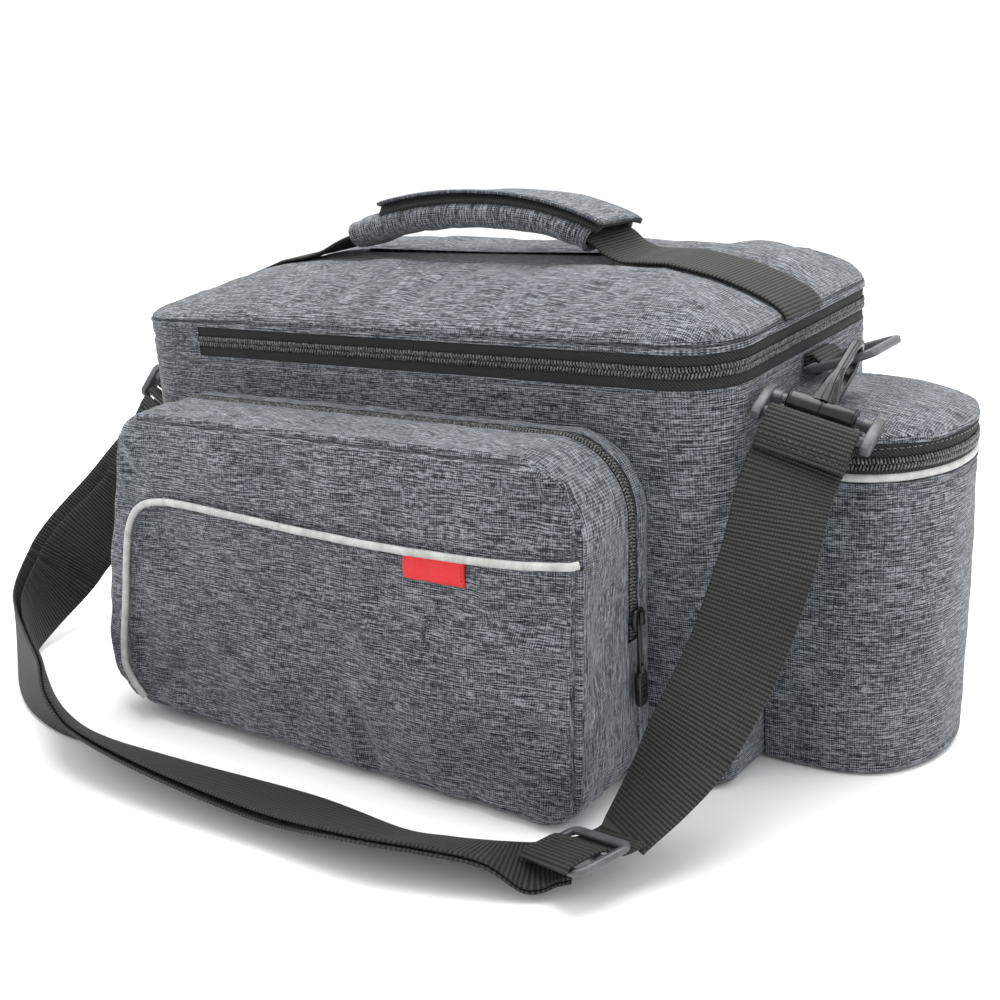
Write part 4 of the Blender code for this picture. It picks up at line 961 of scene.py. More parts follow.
def in_front(x, z, out):
    return Vector((x, POCKET_BACK - out * depth_share(z), z))


def out_of(p):
    return (POCKET_BACK - p[1]) / depth_share(p[2])


def pocket_outline(inset):
    return rounded_corners(inset_corners(pocket_corners(), inset), 14, (84, 40))


def fold_depth(x, z):
    depth = 0.0
    for (ax, az), (bx, bz), width, deep in POCKET_FOLDS:
        dx, dz = bx - ax, bz - az
        share = clamp(((x - ax) * dx + (z - az) * dz) / (dx * dx + dz * dz))
        off = math.hypot(x - ax - share * dx, z - az - share * dz)
        depth -= deep * bell(off, width) * (1 - 0.45 * share)
    return depth


def edge_inset(x, z):
    corners = [Vector(corner[:2]) for corner in pocket_corners()]
    least = 1.0
    for a, b in zip(corners, corners[1:] + corners[:1]):
        along = (b - a).normalized()
        least = min(least, (Vector((x, z)) - a).dot(Vector((-along.y, along.x))))
    return least


def front_out(inset):
    """How far the front panel stands out at a distance from its edge, without its folds."""
    return POCKET_DEPTH + float(np.interp(inset / POCKET_EDGE, *zip(*FRONT_PROFILE)))


def on_front(x, z, lift):
    return in_front(x, z, front_out(edge_inset(x, z)) + lift)


def piping_run():
    left = POCKET_PIPING_SIDE - HALF_LENGTH + POCKET_LEFT_BASE
    top = POCKET_TOP - POCKET_PIPING_TOP
    right = HALF_LENGTH - POCKET_RIGHT
    corners = [Vector((left + a * top, up * top)) for a, up in PIPING_SIDE]
    corners += [Vector((x * right, top * up)) for x, up in PIPING_TOP]
    return smooth_run(corners, 6)


PIPING_RUN = piping_run()


def near_piping(x, z):
    return min((Vector((x, z)) - p).length for p in PIPING_RUN)


def front_relief(u, v, p):
    """Seam grooves, folds and soft dents of the side pocket."""
    out = out_of(p)
    depth = dents(p, (0.0014, 0.050, 2.0), (0.0007, 0.020, 5.0), (0.00018, 0.008, 8.0))
    if out < POCKET_DEPTH - POCKET_EDGE * 0.6:
        if p[0] > 0.10 and p[2] < POCKET_TOP - 0.03:
            wrinkle = max(0.0, lumps((p[0], p[1] * 0.6, p[2]), 0.021, 9.0))
            depth -= 0.0011 * bell(p[2] - POCKET_ZIP_END + 0.004, 0.0011)
            depth -= 0.0014 * wrinkle * min(1.0, (0.075 - p[2]) / 0.02 + 0.3)
        before_seam = POCKET_DEPTH - POCKET_EDGE - out
        edge = min(out - POCKET_TAPE, before_seam)
        pull = math.sin(u / 0.0105 + 2.2 * lumps(p, 0.05, 3.0)) * math.exp(-before_seam / 0.006)
        return depth * clamp(edge / 0.006, 0.2) + 0.0004 * pull
    inset = edge_inset(p[0], p[2])
    seam, rib = bell(inset - 0.0030, 0.0010), bell(inset - 0.0006, 0.0016)
    pucker = math.exp(-(inset - 0.003) / 0.009) if inset > 0.003 else 1.0
    pucker *= math.sin(u / 0.0042 + 3.0 * lumps(p, 0.03, 7.0)) * min(1.0, inset / 0.004)
    depth += 0.0007 * pucker + FOLD_GAIN * fold_depth(p[0], p[2]) * min(1.0, inset / 0.012)
    piping = near_piping(p[0], p[2])
    depth = depth * (1 - 0.85 * bell(piping, 0.006)) - 0.0002 * bell(piping, 0.0042)
    return depth - 0.0022 * seam + 0.0007 * rib


def pocket_held(p):
    """The seams, the piping with its red tab, and the side that is sewn to the body."""
    out = out_of(p)
    if out < POCKET_DEPTH - POCKET_EDGE - 0.002:
        return 1.3 - (out - POCKET_TAPE) / 0.008
    tab = abs(p[0] - TAB_CENTRE) < TAB_WIDTH * 0.6 and 0.105 < p[2] < 0.128
    seam, piping = edge_inset(p[0], p[2]) / 0.008, near_piping(p[0], p[2]) / 0.004
    return max(1.4 - seam, 1.6 - piping, float(tab))


def binding_relief(u, v, p):
    return 0.0003 * math.sin(u / 0.0048 + 2.5 * lumps(p, 0.03, 4.0)) + 0.0003 * lumps(p, 0.02, 6.0)


def build_side_pocket():
    start, end = POCKET_TAPE - 0.0010, POCKET_DEPTH - POCKET_EDGE
    levels = [(0.0035, start), (-0.0002, start)]
    levels += [(0.0, start + (end - start) * k / 18) for k in range(1, 19)]
    insets = [0.00015] + [0.0005 * k for k in range(1, 9)] + [0.0048, 0.0058, 0.0070]
    while insets[-1] < 0.080:
        insets.append(insets[-1] + 0.0021)
    levels += [(inset, front_out(inset)) for inset in insets]
    rows = [[in_front(x, z, out) for x, z in pocket_outline(inset)] for inset, out in levels]
    piece = surface("side_pocket_cloth", rows, cap_last=True, relief=front_relief)
    settle(piece, pocket_held, 0.9)
    layer = piece.data.uv_layers["UVMap"].data
    for face in piece.data.polygons:
        if face.normal.y < -0.6:
            for index, vertex in zip(face.loop_indices, face.vertices):
                layer[index].uv = piece.data.vertices[vertex].co.xz
    dress(piece, CLOTH, ["side_pocket"])


def build_pocket_zip():
    """The pocket's zip, the binding round it, and the cloth between them where the zip isn't."""
    outline = rounded_corners(pocket_corners(), 14, (60, 30))
    over_top = [p for p in outline[120:] if p[0] > POCKET_ZIP_LEFT and p[1] > POCKET_ZIP_LOW]
    right = pocket_corners()[2][0]
    run = even_pairs([(right - 0.0012, POCKET_ZIP_END - 0.001)] + over_top, 0.0025)
    coil = 0.0052
    lows = [(out, POCKET_TAPE - up) for out, up in tape_lows(0.0, 0.0100, coil, 0.0008)][::-1]
    strip("pocket_zip_tape", run, lows, in_front, TAPE, "tape", nodes=["pocket_zip"])
    zip_teeth("pocket_zip_teeth", *zip_line(run, -0.0003, POCKET_TAPE - coil, in_front))
    loop = outline + outline[:1]
    binding, shares = POCKET_TAPE - 0.0098, [k / 6 for k in range(7)]
    lows = [(-0.0030, 0.0), (0.0001, 0.0)]
    for s in shares:
        lows.append((0.0002 + 0.0007 * math.sin(math.pi * s), 0.0005 + (binding - 0.0005) * s))
    lows.append((-0.0020, binding))
    ring, cover = even_pairs(loop, 0.003), (CLOTH, "fabric", binding_relief)
    strip("pocket_binding", ring, lows, in_front, *cover, ["pocket_gusset"])
    rest = []
    for x, z in loop:
        over = x > POCKET_ZIP_LEFT and z > POCKET_ZIP_LOW
        if not over and not (x > POCKET_ZIP_SIDE and z > POCKET_ZIP_END):
            rest.append((x, z))
    start = max(range(len(rest)), key=lambda i: math.dist(rest[i], rest[i - 1]))
    rest = even_pairs(rest[start:] + rest[:start], 0.003)
    lows = [(-0.002, binding - 0.0005)]
    lows += [(-0.0004, binding + (POCKET_TAPE + 0.0006 - binding) * s) for s in shares]
    strip("pocket_gusset_cloth", rest, lows, in_front, *cover)


def build_pocket_trim():
    away = Vector((0, -1, 0))
    run = even_pairs(PIPING_RUN, 0.0016)
    points = []
    for x, z in run:
        uneven = 0.00035 * lumps((x, 0, z), 0.017, 2.0)
        points.append(on_front(x, z, 0.0010 + PIPING * 0.36 + uneven))
    sides = [(out, side) for side, out in frames(points, [away] * len(points))]
    piece = swept("pocket_piping_band", points, sides, round_section(PIPING * 0.46, 14, 0.9))
    dress(piece, LIGHT, ["pocket_piping"])
    for label, off in (("outer", 0.0040), ("inner", -0.0040)):
        line = moved_out(run, off, -0.00005, on_front)[2:-2]
        stitches(f"piping_stitches_{label}", line, [away] * len(line), 0.0034)

    top = (POCKET_TOP - POCKET_PIPING_TOP) * 0.985 - GAP - PIPING / 2
    out = POCKET_DEPTH + POCKET_CROWN
    rows = []
    for k in range(9):
        z = top + 0.0015 - (TAB_HEIGHT + 0.0015) * k / 8
        lift = 0.0019 + 0.0006 * math.sin(math.pi * k / 8)
        row = []
        for i in range(25):
            x = TAB_CENTRE + (i / 24 - 0.5) * TAB_WIDTH
            row.append(in_front(x, z, out + lift + 0.0003 * math.sin(i * 0.5)))
        rows.append(row)
    piece = surface("red_tab_cloth", rows, closed=False)
    thicken(piece, 0.0012)
    dress(piece, RED, ["red_tab"])
    for label, side in (("left", -0.46), ("right", 0.46)):
        name, x = f"red_tab_stitches_{label}", TAB_CENTRE + side * TAB_WIDTH
        ends = [in_front(x, top - TAB_HEIGHT * share, out + 0.0030) for share in (0.12, 0.88)]
        straight_stitches(name, *ends, away, 0.0022, 0.0015, RED, "red_cloth")


# The bottle pocket


def bottle_outline(inset):
    r = BOTTLE_WIDTH / 2 - inset
    start = HALF_LENGTH + GAP
    straight = BOTTLE_DEPTH - BOTTLE_WIDTH / 2 * 0.93
    points = []
    for x, y in arc((0, 0), 1.0, -90, 90, 72):
        angle = math.atan2(y, max(x, 1e-9))
        depth = (BOTTLE_DEPTH - straight - inset) * abs(math.cos(angle)) ** 0.75
        points.append((start + straight + depth, r * math.sin(angle)))
    first = [(start + (points[0][0] - start) * k / 10, -r) for k in range(10)]
    return first + points + [(x, -y) for x, y in first[::-1]]


def bottle_relief(u, v, p):
    below = BOTTLE_HEIGHT - p[2]
    depth = 0.0009 * lumps((p[0], p[1], p[2] * 0.5), 0.034, 2.0)
    depth += dents(p, (0.0004, 0.016, 6.0), (0.0002, 0.008, 1.0))
    pucker = 0.0004 * math.sin(u / 0.0040 + 2 * lumps(p, 0.03)) * math.exp(-below / 0.008)
    grooves = 0.0009 * (bell(below - 0.0030, 0.0010) + bell(p[2] - 0.0060, 0.0011))
    return depth * clamp(below / 0.012) + pucker - grooves - 0.0002


def bottle_lid_relief(u, v, p):
    away = (p[0] - HALF_LENGTH) / BOTTLE_DEPTH
    depth = dents(p, (0.0009, 0.030, 2.0), (0.0004, 0.013, 6.0))
    pucker = 0.0005 * math.sin(u / 0.0055 + 2 * lumps(p, 0.03)) * math.exp(-v / 0.010)
    return (depth + pucker) * clamp(away * 6)


def build_bottle_pocket():
    foot = ((0.003, 0.0), (0.0016, 0.0004), (0.0007, 0.0014), (0.0, 0.0030))
    levels = [(BOTTLE_TAPER + inset, z) for inset, z in foot]
    heights = [0.0040, 0.0050, 0.0056, 0.0062, 0.0068, 0.0076, 0.0090]
    heights += [0.009 + (BOTTLE_HEIGHT - 0.006 - 0.009) * k / 40 for k in range(1, 41)]
    levels += [(BOTTLE_TAPER * max(0.0, 1 - z / BOTTLE_HEIGHT / 0.7), z) for z in heights]
    for drop in (0.0050, 0.0042, 0.0036, 0.0030, 0.0024, 0.0016, 0.0008, 0.0):
        levels.append((0.0, BOTTLE_HEIGHT - drop))
    levels.append((0.0020, BOTTLE_HEIGHT + 0.0002))
    rows = [[Vector((x, y, z)) for x, y in bottle_outline(inset)] for inset, z in levels]
    name = "bottle_pocket_cloth"
    piece = surface(name, rows, closed=False, cap_first=True, relief=bottle_relief)
    dress(piece, CLOTH, ["bottle_pocket"])

    piping_z = BOTTLE_HEIGHT + GAP + PIPING / 2
    least_x = HALF_LENGTH + GAP + PIPING / 2
    edge = [Vector((max(x, least_x), y, piping_z)) for x, y in bottle_outline(PIPING / 2 - 0.0004)]
    edge = [p + Vector((0, 0, 0.0002 * lumps(p, 0.02, 3.0))) for p in even(edge, 0.002)]
    sides = frames(edge, [Vector((0, 0, 1))] * len(edge))
    piece = swept("bottle_piping_band", edge, sides, round_section(PIPING / 2, 14, 0.95))
    dress(piece, LIGHT, ["bottle_piping"])

    run = even_pairs(bottle_outline(0.0), 0.0022)
    tape_base = BOTTLE_HEIGHT + PIPING + 2 * GAP
    tape_top = tape_base + BOTTLE_TAPE
    coil = tape_base + 0.0042
    lows = tape_lows(tape_base, BOTTLE_TAPE, coil, 0.0010)
    strip("bottle_zip_tape", run, lows, upright, TAPE, "tape", nodes=["bottle_zip"])
    zip_teeth("bottle_zip_teeth", *zip_line(run, -0.0005, coil, upright))
    line = zip_line(run, -0.0004, tape_top - 0.0022, upright)
    stitches("bottle_tape_stitches", *line, material=TEETH, slot="tape")

    start, lid_base = HALF_LENGTH + GAP, tape_top + GAP
    plan = bottle_outline(0.0)
    profile = [(0.965, 0.03), (1.0, -0.02)] + smooth_pairs(BOTTLE_LID_PROFILE, 5) + [(0.05, 1.0)]
    rows = []
    for size, rise in profile:
        z = lid_base + rise * BOTTLE_LID_RISE
        rows.append([Vector((start + (x - start) * size, y * size, z)) for x, y in plan])
    domed = {"cap_last": True, "relief": bottle_lid_relief, "plan_above": PLAN_ABOVE}
    piece = surface("bottle_lid_cloth", rows, closed=False, **domed)
    dress(piece, CLOTH, ["bottle_lid"])


# The handle


def handle_arch():
    rest = WEBBING / 2 + 2 * GAP
    points = []
    for x, up in HANDLE_ARCH:
        x *= HALF_LENGTH
        points.append(Vector((x, HANDLE_Y, lid_height(x, HANDLE_Y) + rest + up * HANDLE_RISE)))
    return smooth_run(points, 8)


def between(points, first, last):
    start, end = first * HALF_LENGTH, last * HALF_LENGTH
    held = []
    for a, b in zip(points, points[1:]):
        for place in (start, end):
            if a.x < place <= b.x:
                held.append(a.lerp(b, (place - a.x) / (b.x - a.x)))
        if start < b.x < end:
            held.append(b)
    return sorted(held, key=lambda p: p.x)


ACROSS_LID = Vector((0, 1, REAR_LIFT * (LID_BASE + LID_RISE) / BODY_WIDTH))


def web_stitches(name, centre, across, out, width, thickness, pitch, length):
    """One row of stitches across a webbing."""
    middle = centre + out * (thickness / 2 + 0.0001)
    half = across * (width / 2)
    straight_stitches(name, middle - half, middle + half, out, pitch, length)


def build_handle():
    rest = WEBBING / 2 + GAP
    arch = handle_arch()
    ends = []
    for side, (reach, _) in ((-1, HANDLE_ARCH[0]), (1, HANDLE_ARCH[-1])):
        line = []
        for inset, rise in LID_RUN:
            x = side * (HALF_LENGTH - inset * HALF_WIDTH)
            if abs(x) > abs(reach) * HALF_LENGTH + 0.004:
                line.append((x, LID_BASE + lid_rise(x, rise)))
        ends.append(moved_out(line, side * rest, HANDLE_Y, lambda x, z, y: Vector((x, y, z))))
    step = 0.0025
    centres = even([lifted(p) for p in ends[0] + arch + ends[1][::-1]], step)
    sides = frames(centres, [ACROSS_LID] * len(centres))
    piece = swept("handle_webbing_band", centres, sides, flat_section(HANDLE_WEBBING, WEBBING, 10))
    dress(piece, WEB, ["handle_webbing"])
    for label, place in (("left", -0.60), ("right", 0.585)):
        base = min(range(len(centres)), key=lambda i: abs(centres[i].x - place * HALF_LENGTH))
        across, out = sides[base]
        for number, slant in enumerate((0.0, 0.0045)):
            name, centre = f"handle_stitches_{label}_{number}", centres[base + int(slant / step)]
            web_stitches(name, centre, across, out, HANDLE_WEBBING * 0.9, WEBBING, 0.0030, 0.0022)
    build_grip(arch)
    build_flap(arch)


def sleeve_section(width, height, steps):
    points = []
    for k in range(steps):
        a = 2 * math.pi * (k + 0.5) / steps
        c, s = math.cos(a), math.sin(a)
        across, up = math.copysign(abs(c) ** 0.45, c), math.copysign(abs(s) ** 0.75, s)
        points.append((across * width / 2, up * height / 2))
    return points


def grip_relief(u, v, p):
    dent = 0.0010 * lumps((p[0], p[1] * 0.4, p[2]), 0.013, 3.0)
    return dent + 0.0004 * lumps(p, 0.007, 8.0) + 0.0005 * lumps(p, 0.03, 1.0)


def build_grip(arch):
    """The padded sleeve, open at its ends."""
    path = even([lifted(p) for p in between(arch, GRIP_FROM, GRIP_TO)], 0.0030)
    sides = frames(path, [ACROSS_LID] * len(path))
    last = len(path) - 1
    # Station, width and height as shares of the sleeve's, and the slide along it
    rings = [(3, 0.86, 0.52, 0.0), (0, 0.88, 0.55, 0.0), (0, 0.93, 0.78, -0.0008)]
    for i in range(last + 1):
        pinch = 1 - 0.06 * math.exp(-((min(i, last - i) - 1.5) ** 2) / 0.8)
        size = (1 + 0.02 * math.sin(math.pi * i / last)) * pinch
        rings.append((i, size, size, 0.0))
    rings += [(last, 0.93, 0.80, 0.0008), (last, 0.88, 0.58, 0.0), (last - 3, 0.86, 0.52, 0.0)]
    section = sleeve_section(GRIP_WIDTH, GRIP_HEIGHT, 40)[::-1]
    rows = []
    for i, wide, high, slide in rings:
        side, out = sides[i]
        centre = path[i] + side.cross(out) * slide
        rows.append([centre + side * (a * wide) + out * (b * high) for a, b in section])
    piece = surface("handle_grip_cloth", rows, relief=grip_relief)
    dress(piece, CLOTH, ["handle_grip"])


def flap_row(centre, side, out, share, low, skirt):
    """Across the flap at a share of its length; skirt is how far its front edge hangs."""
    above = GRIP_HEIGHT / 2 + FLAP_THICKNESS / 2 + 2 * GAP
    tip = min(1.0, 0.35 + share / 0.09)
    opening = 0.55 + 0.45 * math.sin(math.pi * min(1.0, share * 1.25))
    row = []
    for k in range(FLAP_COLUMNS + 1):
        w = k / FLAP_COLUMNS - 0.5
        front, back = max(0.0, -w * 2), max(0.0, w * 2)
        lift = 0.0036 * front**1.6 * opening
        lift -= skirt * max(0.0, (front - 0.8) / 0.2) ** 0.7 * (1 - 0.4 * share)
        drop = 0.0036 * back**2.2 + 0.0012 * front**6
        wave = 0.0006 * lumps((share * 0.12, w * 0.05, 0.0), 0.02, 4.0)
        across = side * (w * (FLAP_WIDTH + 0.001) * tip)
        row.append(centre + across + out * (above + low + lift - drop + wave))
    return row


def build_flap(arch):
    """The sleeve's closing flap, folded on top, with its dark underside."""
    path = even([lifted(p) for p in between(arch, FLAP_FROM - 0.012, FLAP_TO + 0.006)], 0.0030)
    sides = frames(path, [ACROSS_LID] * len(path))
    last = len(path) - 1
    for name, low, skirt, thickness, material, nodes in (
        ("handle_flap_cloth", 0.0008, 0.0, 0.0013, CLOTH, ["handle_flap"]),
        ("handle_flap_loop_tape", -0.0007, 0.0046, 0.0016, TAPE, []),
    ):
        rows = [flap_row(path[i], *sides[i], i / last, low, skirt) for i in range(last + 1)]
        piece = surface(name, rows, closed=False)
        thicken(piece, thickness)
        dress(piece, material, nodes)
        if material is TAPE:
            continue
        outs = [out for _, out in sides]
        for label, line, ups in (
            ("front", [row[1] for row in rows], outs),
            ("back", [row[-2] for row in rows], outs),
            ("end", rows[-2], [outs[-2]] * len(rows[-2])),
        ):
            line = [p + out * 0.0008 for p, out in zip(line, ups)]
            stitches(f"flap_stitches_{label}", line, ups, 0.0030, 0.0020, PALE_THREAD)


# Rings and hooks


def end_ring(side):
    tilt = math.radians(RING_TILT[side])
    bar = lifted((side * RING_BAR_X, 0.0 if side > 0 else 0.010, RING_HEIGHT))
    return bar, Vector((side * math.cos(tilt), 0, math.sin(tilt)))


def build_ring(side, label):
    bar, out = end_ring(side)
    half = RING_WIDTH / 2 + RING_WIRE / 2
    corners = [(-half, 0, RING_CORNER * 0.5), (half, 0, RING_CORNER * 0.5)]
    corners += [(half, RING_REACH, RING_CORNER), (-half, RING_REACH, RING_CORNER)]
    outline = rounded_corners(corners, 8, (10, 8))
    centres = [bar + Vector((0, y, 0)) + out * d for y, d in outline]
    normal = out.cross(Vector((0, 1, 0))).normalized()
    sides = []
    for before, after in zip(centres[-1:] + centres, centres[1:] + centres[:1]):
        sides.append((normal, (after - before).normalized().cross(normal)))
    section = sleeve_section(RING_WIRE * 0.98, RING_WIRE, 16)
    piece = swept(f"ring_{label}_moulding", centres, sides, section, closed=True)
    dress(piece, PLASTIC, [f"ring_{label}"])

    wrap = RING_WIRE / 2 + GAP + WEBBING / 2
    inner_x = side * (HALF_LENGTH + GAP * 2 + WEBBING / 2)
    outer_x = inner_x + side * (WEBBING + GAP * 2)
    middle = bar + Vector((0, 0.004 * side, 0))
    seam = lifted((0, middle.y, BODY_HEIGHT - 0.0012)).z
    centres = [Vector((inner_x, middle.y, seam)), Vector((inner_x, middle.y, bar.z + WEBBING))]
    for angle in range(195, 430, 12):
        a = math.radians(angle)
        centres.append(middle + Vector((side * math.cos(a), 0, math.sin(a))) * wrap)
    centres.append(Vector((outer_x, middle.y, seam)))
    centres = even(centres, 0.0012)
    sides = frames(centres, [Vector((0, 1, 0))] * len(centres))
    section = flat_section(RING_WEBBING, WEBBING, 10)
    piece = swept(f"ring_webbing_{label}_band", centres, sides, section)
    dress(piece, WEB, [f"ring_webbing_{label}"])


def hook_axes(side):
    bar, out = end_ring(side)
    held = bar + Vector((0, -(RING_WIDTH + RING_WIRE) / 2, 0)) + out * (RING_REACH * 0.75)
    tip = Vector(HOOK_TIP[side]).normalized()
    along = Vector(HOOK_BAR_WAY[side])
    along = (along - tip * along.dot(tip)).normalized()
    top = HOOK_LOOP_LENGTH + HOOK_LOOP_WIDTH / 2 - HOOK_ARM / 2
    return held - tip * (top - RING_WIRE / 2 - HOOK_SLACK), along, along.cross(tip), tip


ACROSS_PLATE = ((0, 1, 0), (0, 0, 1), (1, 0, 0))


def placed(origin, x, y, z):
    return Matrix.Translation(origin) @ Matrix((x, y, z)).transposed().to_4x4()


def round_off(bm, edges, offset, segments):
    bmesh.ops.bevel(
        bm, geom=edges, offset=offset, segments=segments, affect="EDGES", profile=0.5
    )


def add_cylinder(bm, diameter, length, centre, axis="X", segments=28):
    radius = diameter / 2
    size = {"radius1": radius, "radius2": radius, "depth": length}
    made = bmesh.ops.create_cone(bm, cap_ends=True, segments=segments, **size)
    turn = Matrix.Rotation(math.radians(90), 4, "Y" if axis == "X" else "X")
    bmesh.ops.transform(bm, matrix=Matrix.Translation(centre) @ turn, verts=made["verts"])
    rims = [e for v in made["verts"] for e in v.link_edges]
    caps = [e for e in dict.fromkeys(rims) if any(len(f.verts) > 4 for f in e.link_faces)]
    round_off(bm, caps, diameter * 0.07, 2)


def add_block(bm, outline, thickness, centre, axes, bevel, segments=3):
    """A plate of the given outline, its thickness along the third axis, with rounded edges."""
    a, b, c = (Vector(axis) for axis in axes)
    rings = []
    for side in (-0.5, 0.5):
        middle = Vector(centre) + c * (thickness * side)
        rings.append([bm.verts.new(middle + a * u + b * v) for u, v in outline])
    faces = [bm.faces.new(rings[0][::-1]), bm.faces.new(rings[1])]
    add_quads(bm, rings)
    round_off(bm, [*faces[0].edges, *faces[1].edges], bevel, segments)


def eight_sided(a, low, high, cut_a, cut_b):
    """A box from (-a, low) to (a, high) with its corners cut off."""
    lower = [(-a, low + cut_b), (-a + cut_a, low), (a - cut_a, low), (a, low + cut_b)]
    return lower + [(a, high - cut_b), (a - cut_a, high), (-a + cut_a, high), (-a, high - cut_b)]


def finish_moulding(name, bm, place, material, node):
    bmesh.ops.recalc_face_normals(bm, faces=bm.faces)
    piece = new_piece(name, bm)
    piece.matrix_world = place
    dress(piece, material, [node])


def hook_arm_section(wide, deep):
    """Flat on its inner side, with a raised ridge along its outer side."""
    outer = [(wide, 0.5), (wide * 0.72, 1.0), (wide * 0.30, 1.05), (wide * 0.2, 1.45)]
    section = [(-wide, -0.5), (-wide * 0.7, -1.0), (wide * 0.7, -1.0), (wide, -0.5)]
    section += outer + [(-a, b) for a, b in outer[::-1]]
    return [(a, b * deep) for a, b in section]


def build_hook_frame(matrix, label):
    """Two end plates that hold a bar through the hook's barrel and a bar for the strap."""
    spread = STRAP_WIDTH / 2 + HOOK_PLATE_GAP + HOOK_PLATE / 2
    bm = bmesh.new()
    high, low = HOOK_BAR / 2 + 0.0030, -HOOK_BAR_DROP - HOOK_BAR / 2 - 0.0030
    cut = 0.0032
    plate = eight_sided((HOOK_BAR + 0.0034) / 2, low, high, cut * 0.6, cut)
    square, corner = HOOK_BAR / 2 + 0.0004, 0.0012
    boss = eight_sided(square, -square, square, corner, corner)
    for outline, thickness, x, bevel, segments in (
        (plate, HOOK_PLATE + 0.0006, spread, 0.0009, 3),
        (boss, 0.0060, spread - 0.0036, 0.0004, 2),
    ):
        for side in (-1, 1):
            add_block(bm, outline, thickness, (side * x, 0, 0), ACROSS_PLATE, bevel, segments)
    for drop in (0, HOOK_BAR_DROP):
        add_cylinder(bm, HOOK_BAR, 2 * spread, (0, 0, -drop))
    finish_moulding(f"hook_frame_{label}_moulding", bm, matrix, PLASTIC, f"hook_frame_{label}")


def build_hook(side, label):
    matrix = placed(*hook_axes(side))
    build_hook_frame(matrix, label)
    bm = bmesh.new()
    add_cylinder(bm, HOOK_BARREL, 0.032, (0, 0, 0), segments=36)
    for x in (-0.0151, 0.0151, 0.0):
        add_cylinder(bm, HOOK_BARREL + 0.0009, 0.0016, (x, 0, 0), segments=36)
    half = HOOK_LOOP_WIDTH / 2
    rise = [(-half * 0.45, 0.001), (-half, HOOK_BARREL * 1.1), (-half, HOOK_LOOP_LENGTH * 0.6)]
    line = rise + arc((0, HOOK_LOOP_LENGTH), half, 180, 0, 16) + [(-a, b) for a, b in rise[::-1]]
    line = even([Vector((0, a, b)) for a, b in line], 0.0018)
    grid = []
    for centre, (across, out) in zip(line, frames(line, [Vector((1, 0, 0))] * len(line))):
        root = max(0.0, 1 - centre.z / (HOOK_LOOP_LENGTH * 0.5))
        section = hook_arm_section(HOOK_ARM_DEPTH / 2 * (1 + 1.9 * root**1.3), HOOK_ARM / 2)
        grid.append([bm.verts.new(centre + across * a - out * b) for a, b in section])
    add_quads(bm, grid)
    bm.faces.new(grid[0][::-1])
    bm.faces.new(grid[-1])
    finish_moulding(f"hook_{label}_moulding", bm, matrix, BLACK, f"hook_{label}")


# The strap


def slider_matrix():
    centre = Vector((0.868 * HALF_LENGTH, -1.948 * HALF_WIDTH, 0.0160))
    across = Vector((0.845, -0.450, 0.289)).normalized()
    along = Vector((0.372, 0.921, 0.115))
    along = (along - across * along.dot(across)).normalized()
    return placed(centre, across, along, across.cross(along))


def build_slider():
    """A moulded frame with three bars, its rim raised above the slots."""
    half_w, half_l, deep = SLIDER_WIDTH / 2, SLIDER_LENGTH / 2, SLIDER_THICKNESS / 2
    side = (SLIDER_WIDTH - STRAP_WIDTH) / 2 + 0.0003
    outer = rounded_corners(box_corners(half_w, half_l, 0.006), 8, (4, 3))
    inner = rounded_corners(box_corners(half_w - side, half_l - SLIDER_BAR, 0.0015), 8, (4, 3))
    shares = ((0.0, 0.35), (0.10, 0.75), (0.28, 1.0), (0.72, 1.0), (0.90, 0.75), (1.0, 0.35))
    profile = [(s, h * deep) for s, h in shares] + [(s, -h * deep) for s, h in shares[::-1]]
    bm = bmesh.new()
    grid = []
    for a, b in zip(outer, inner):
        a, b = Vector((*a, 0)), Vector((*b, 0))
        grid.append([bm.verts.new(a.lerp(b, s) + Vector((0, 0, h))) for s, h in profile])
    add_quads(bm, grid, closed=True)
    bar, high = SLIDER_BAR / 2, deep * 0.95
    box = eight_sided(bar, -high, high, bar * 0.4, deep * 0.35)
    add_block(bm, box, STRAP_WIDTH + 0.003, (0, 0, 0), ACROSS_PLATE, 0.0003, 1)
    finish_moulding("strap_slider_moulding", bm, slider_matrix(), PLASTIC, "strap_slider")


def bar_centre(side):
    origin, _, _, tip = hook_axes(side)
    return origin - tip * HOOK_BAR_DROP


def wrapped(centre, face, tip):
    """Half a turn of the strap round a bar, from its face over its tip side."""
    turn = arc((0, 0), STRAP_RADIUS, 0, 180, 14)
    return [centre + face * a + tip * b for a, b in turn]


def strap_band(name, centres, across, nodes):
    """Webbing along a line, with evenly spaced stations and its directions carried along."""
    run = even([Vector((*c, *a)) for c, a in zip(centres, across)], 0.0028)
    points = [Vector(r[:3]) for r in run]
    sides = frames(points, [Vector(r[3:]) for r in run])
    piece = swept(name, points, sides, flat_section(STRAP_WIDTH, STRAP_THICKNESS, 14))
    dress(piece, WEB, nodes)
    return points, sides


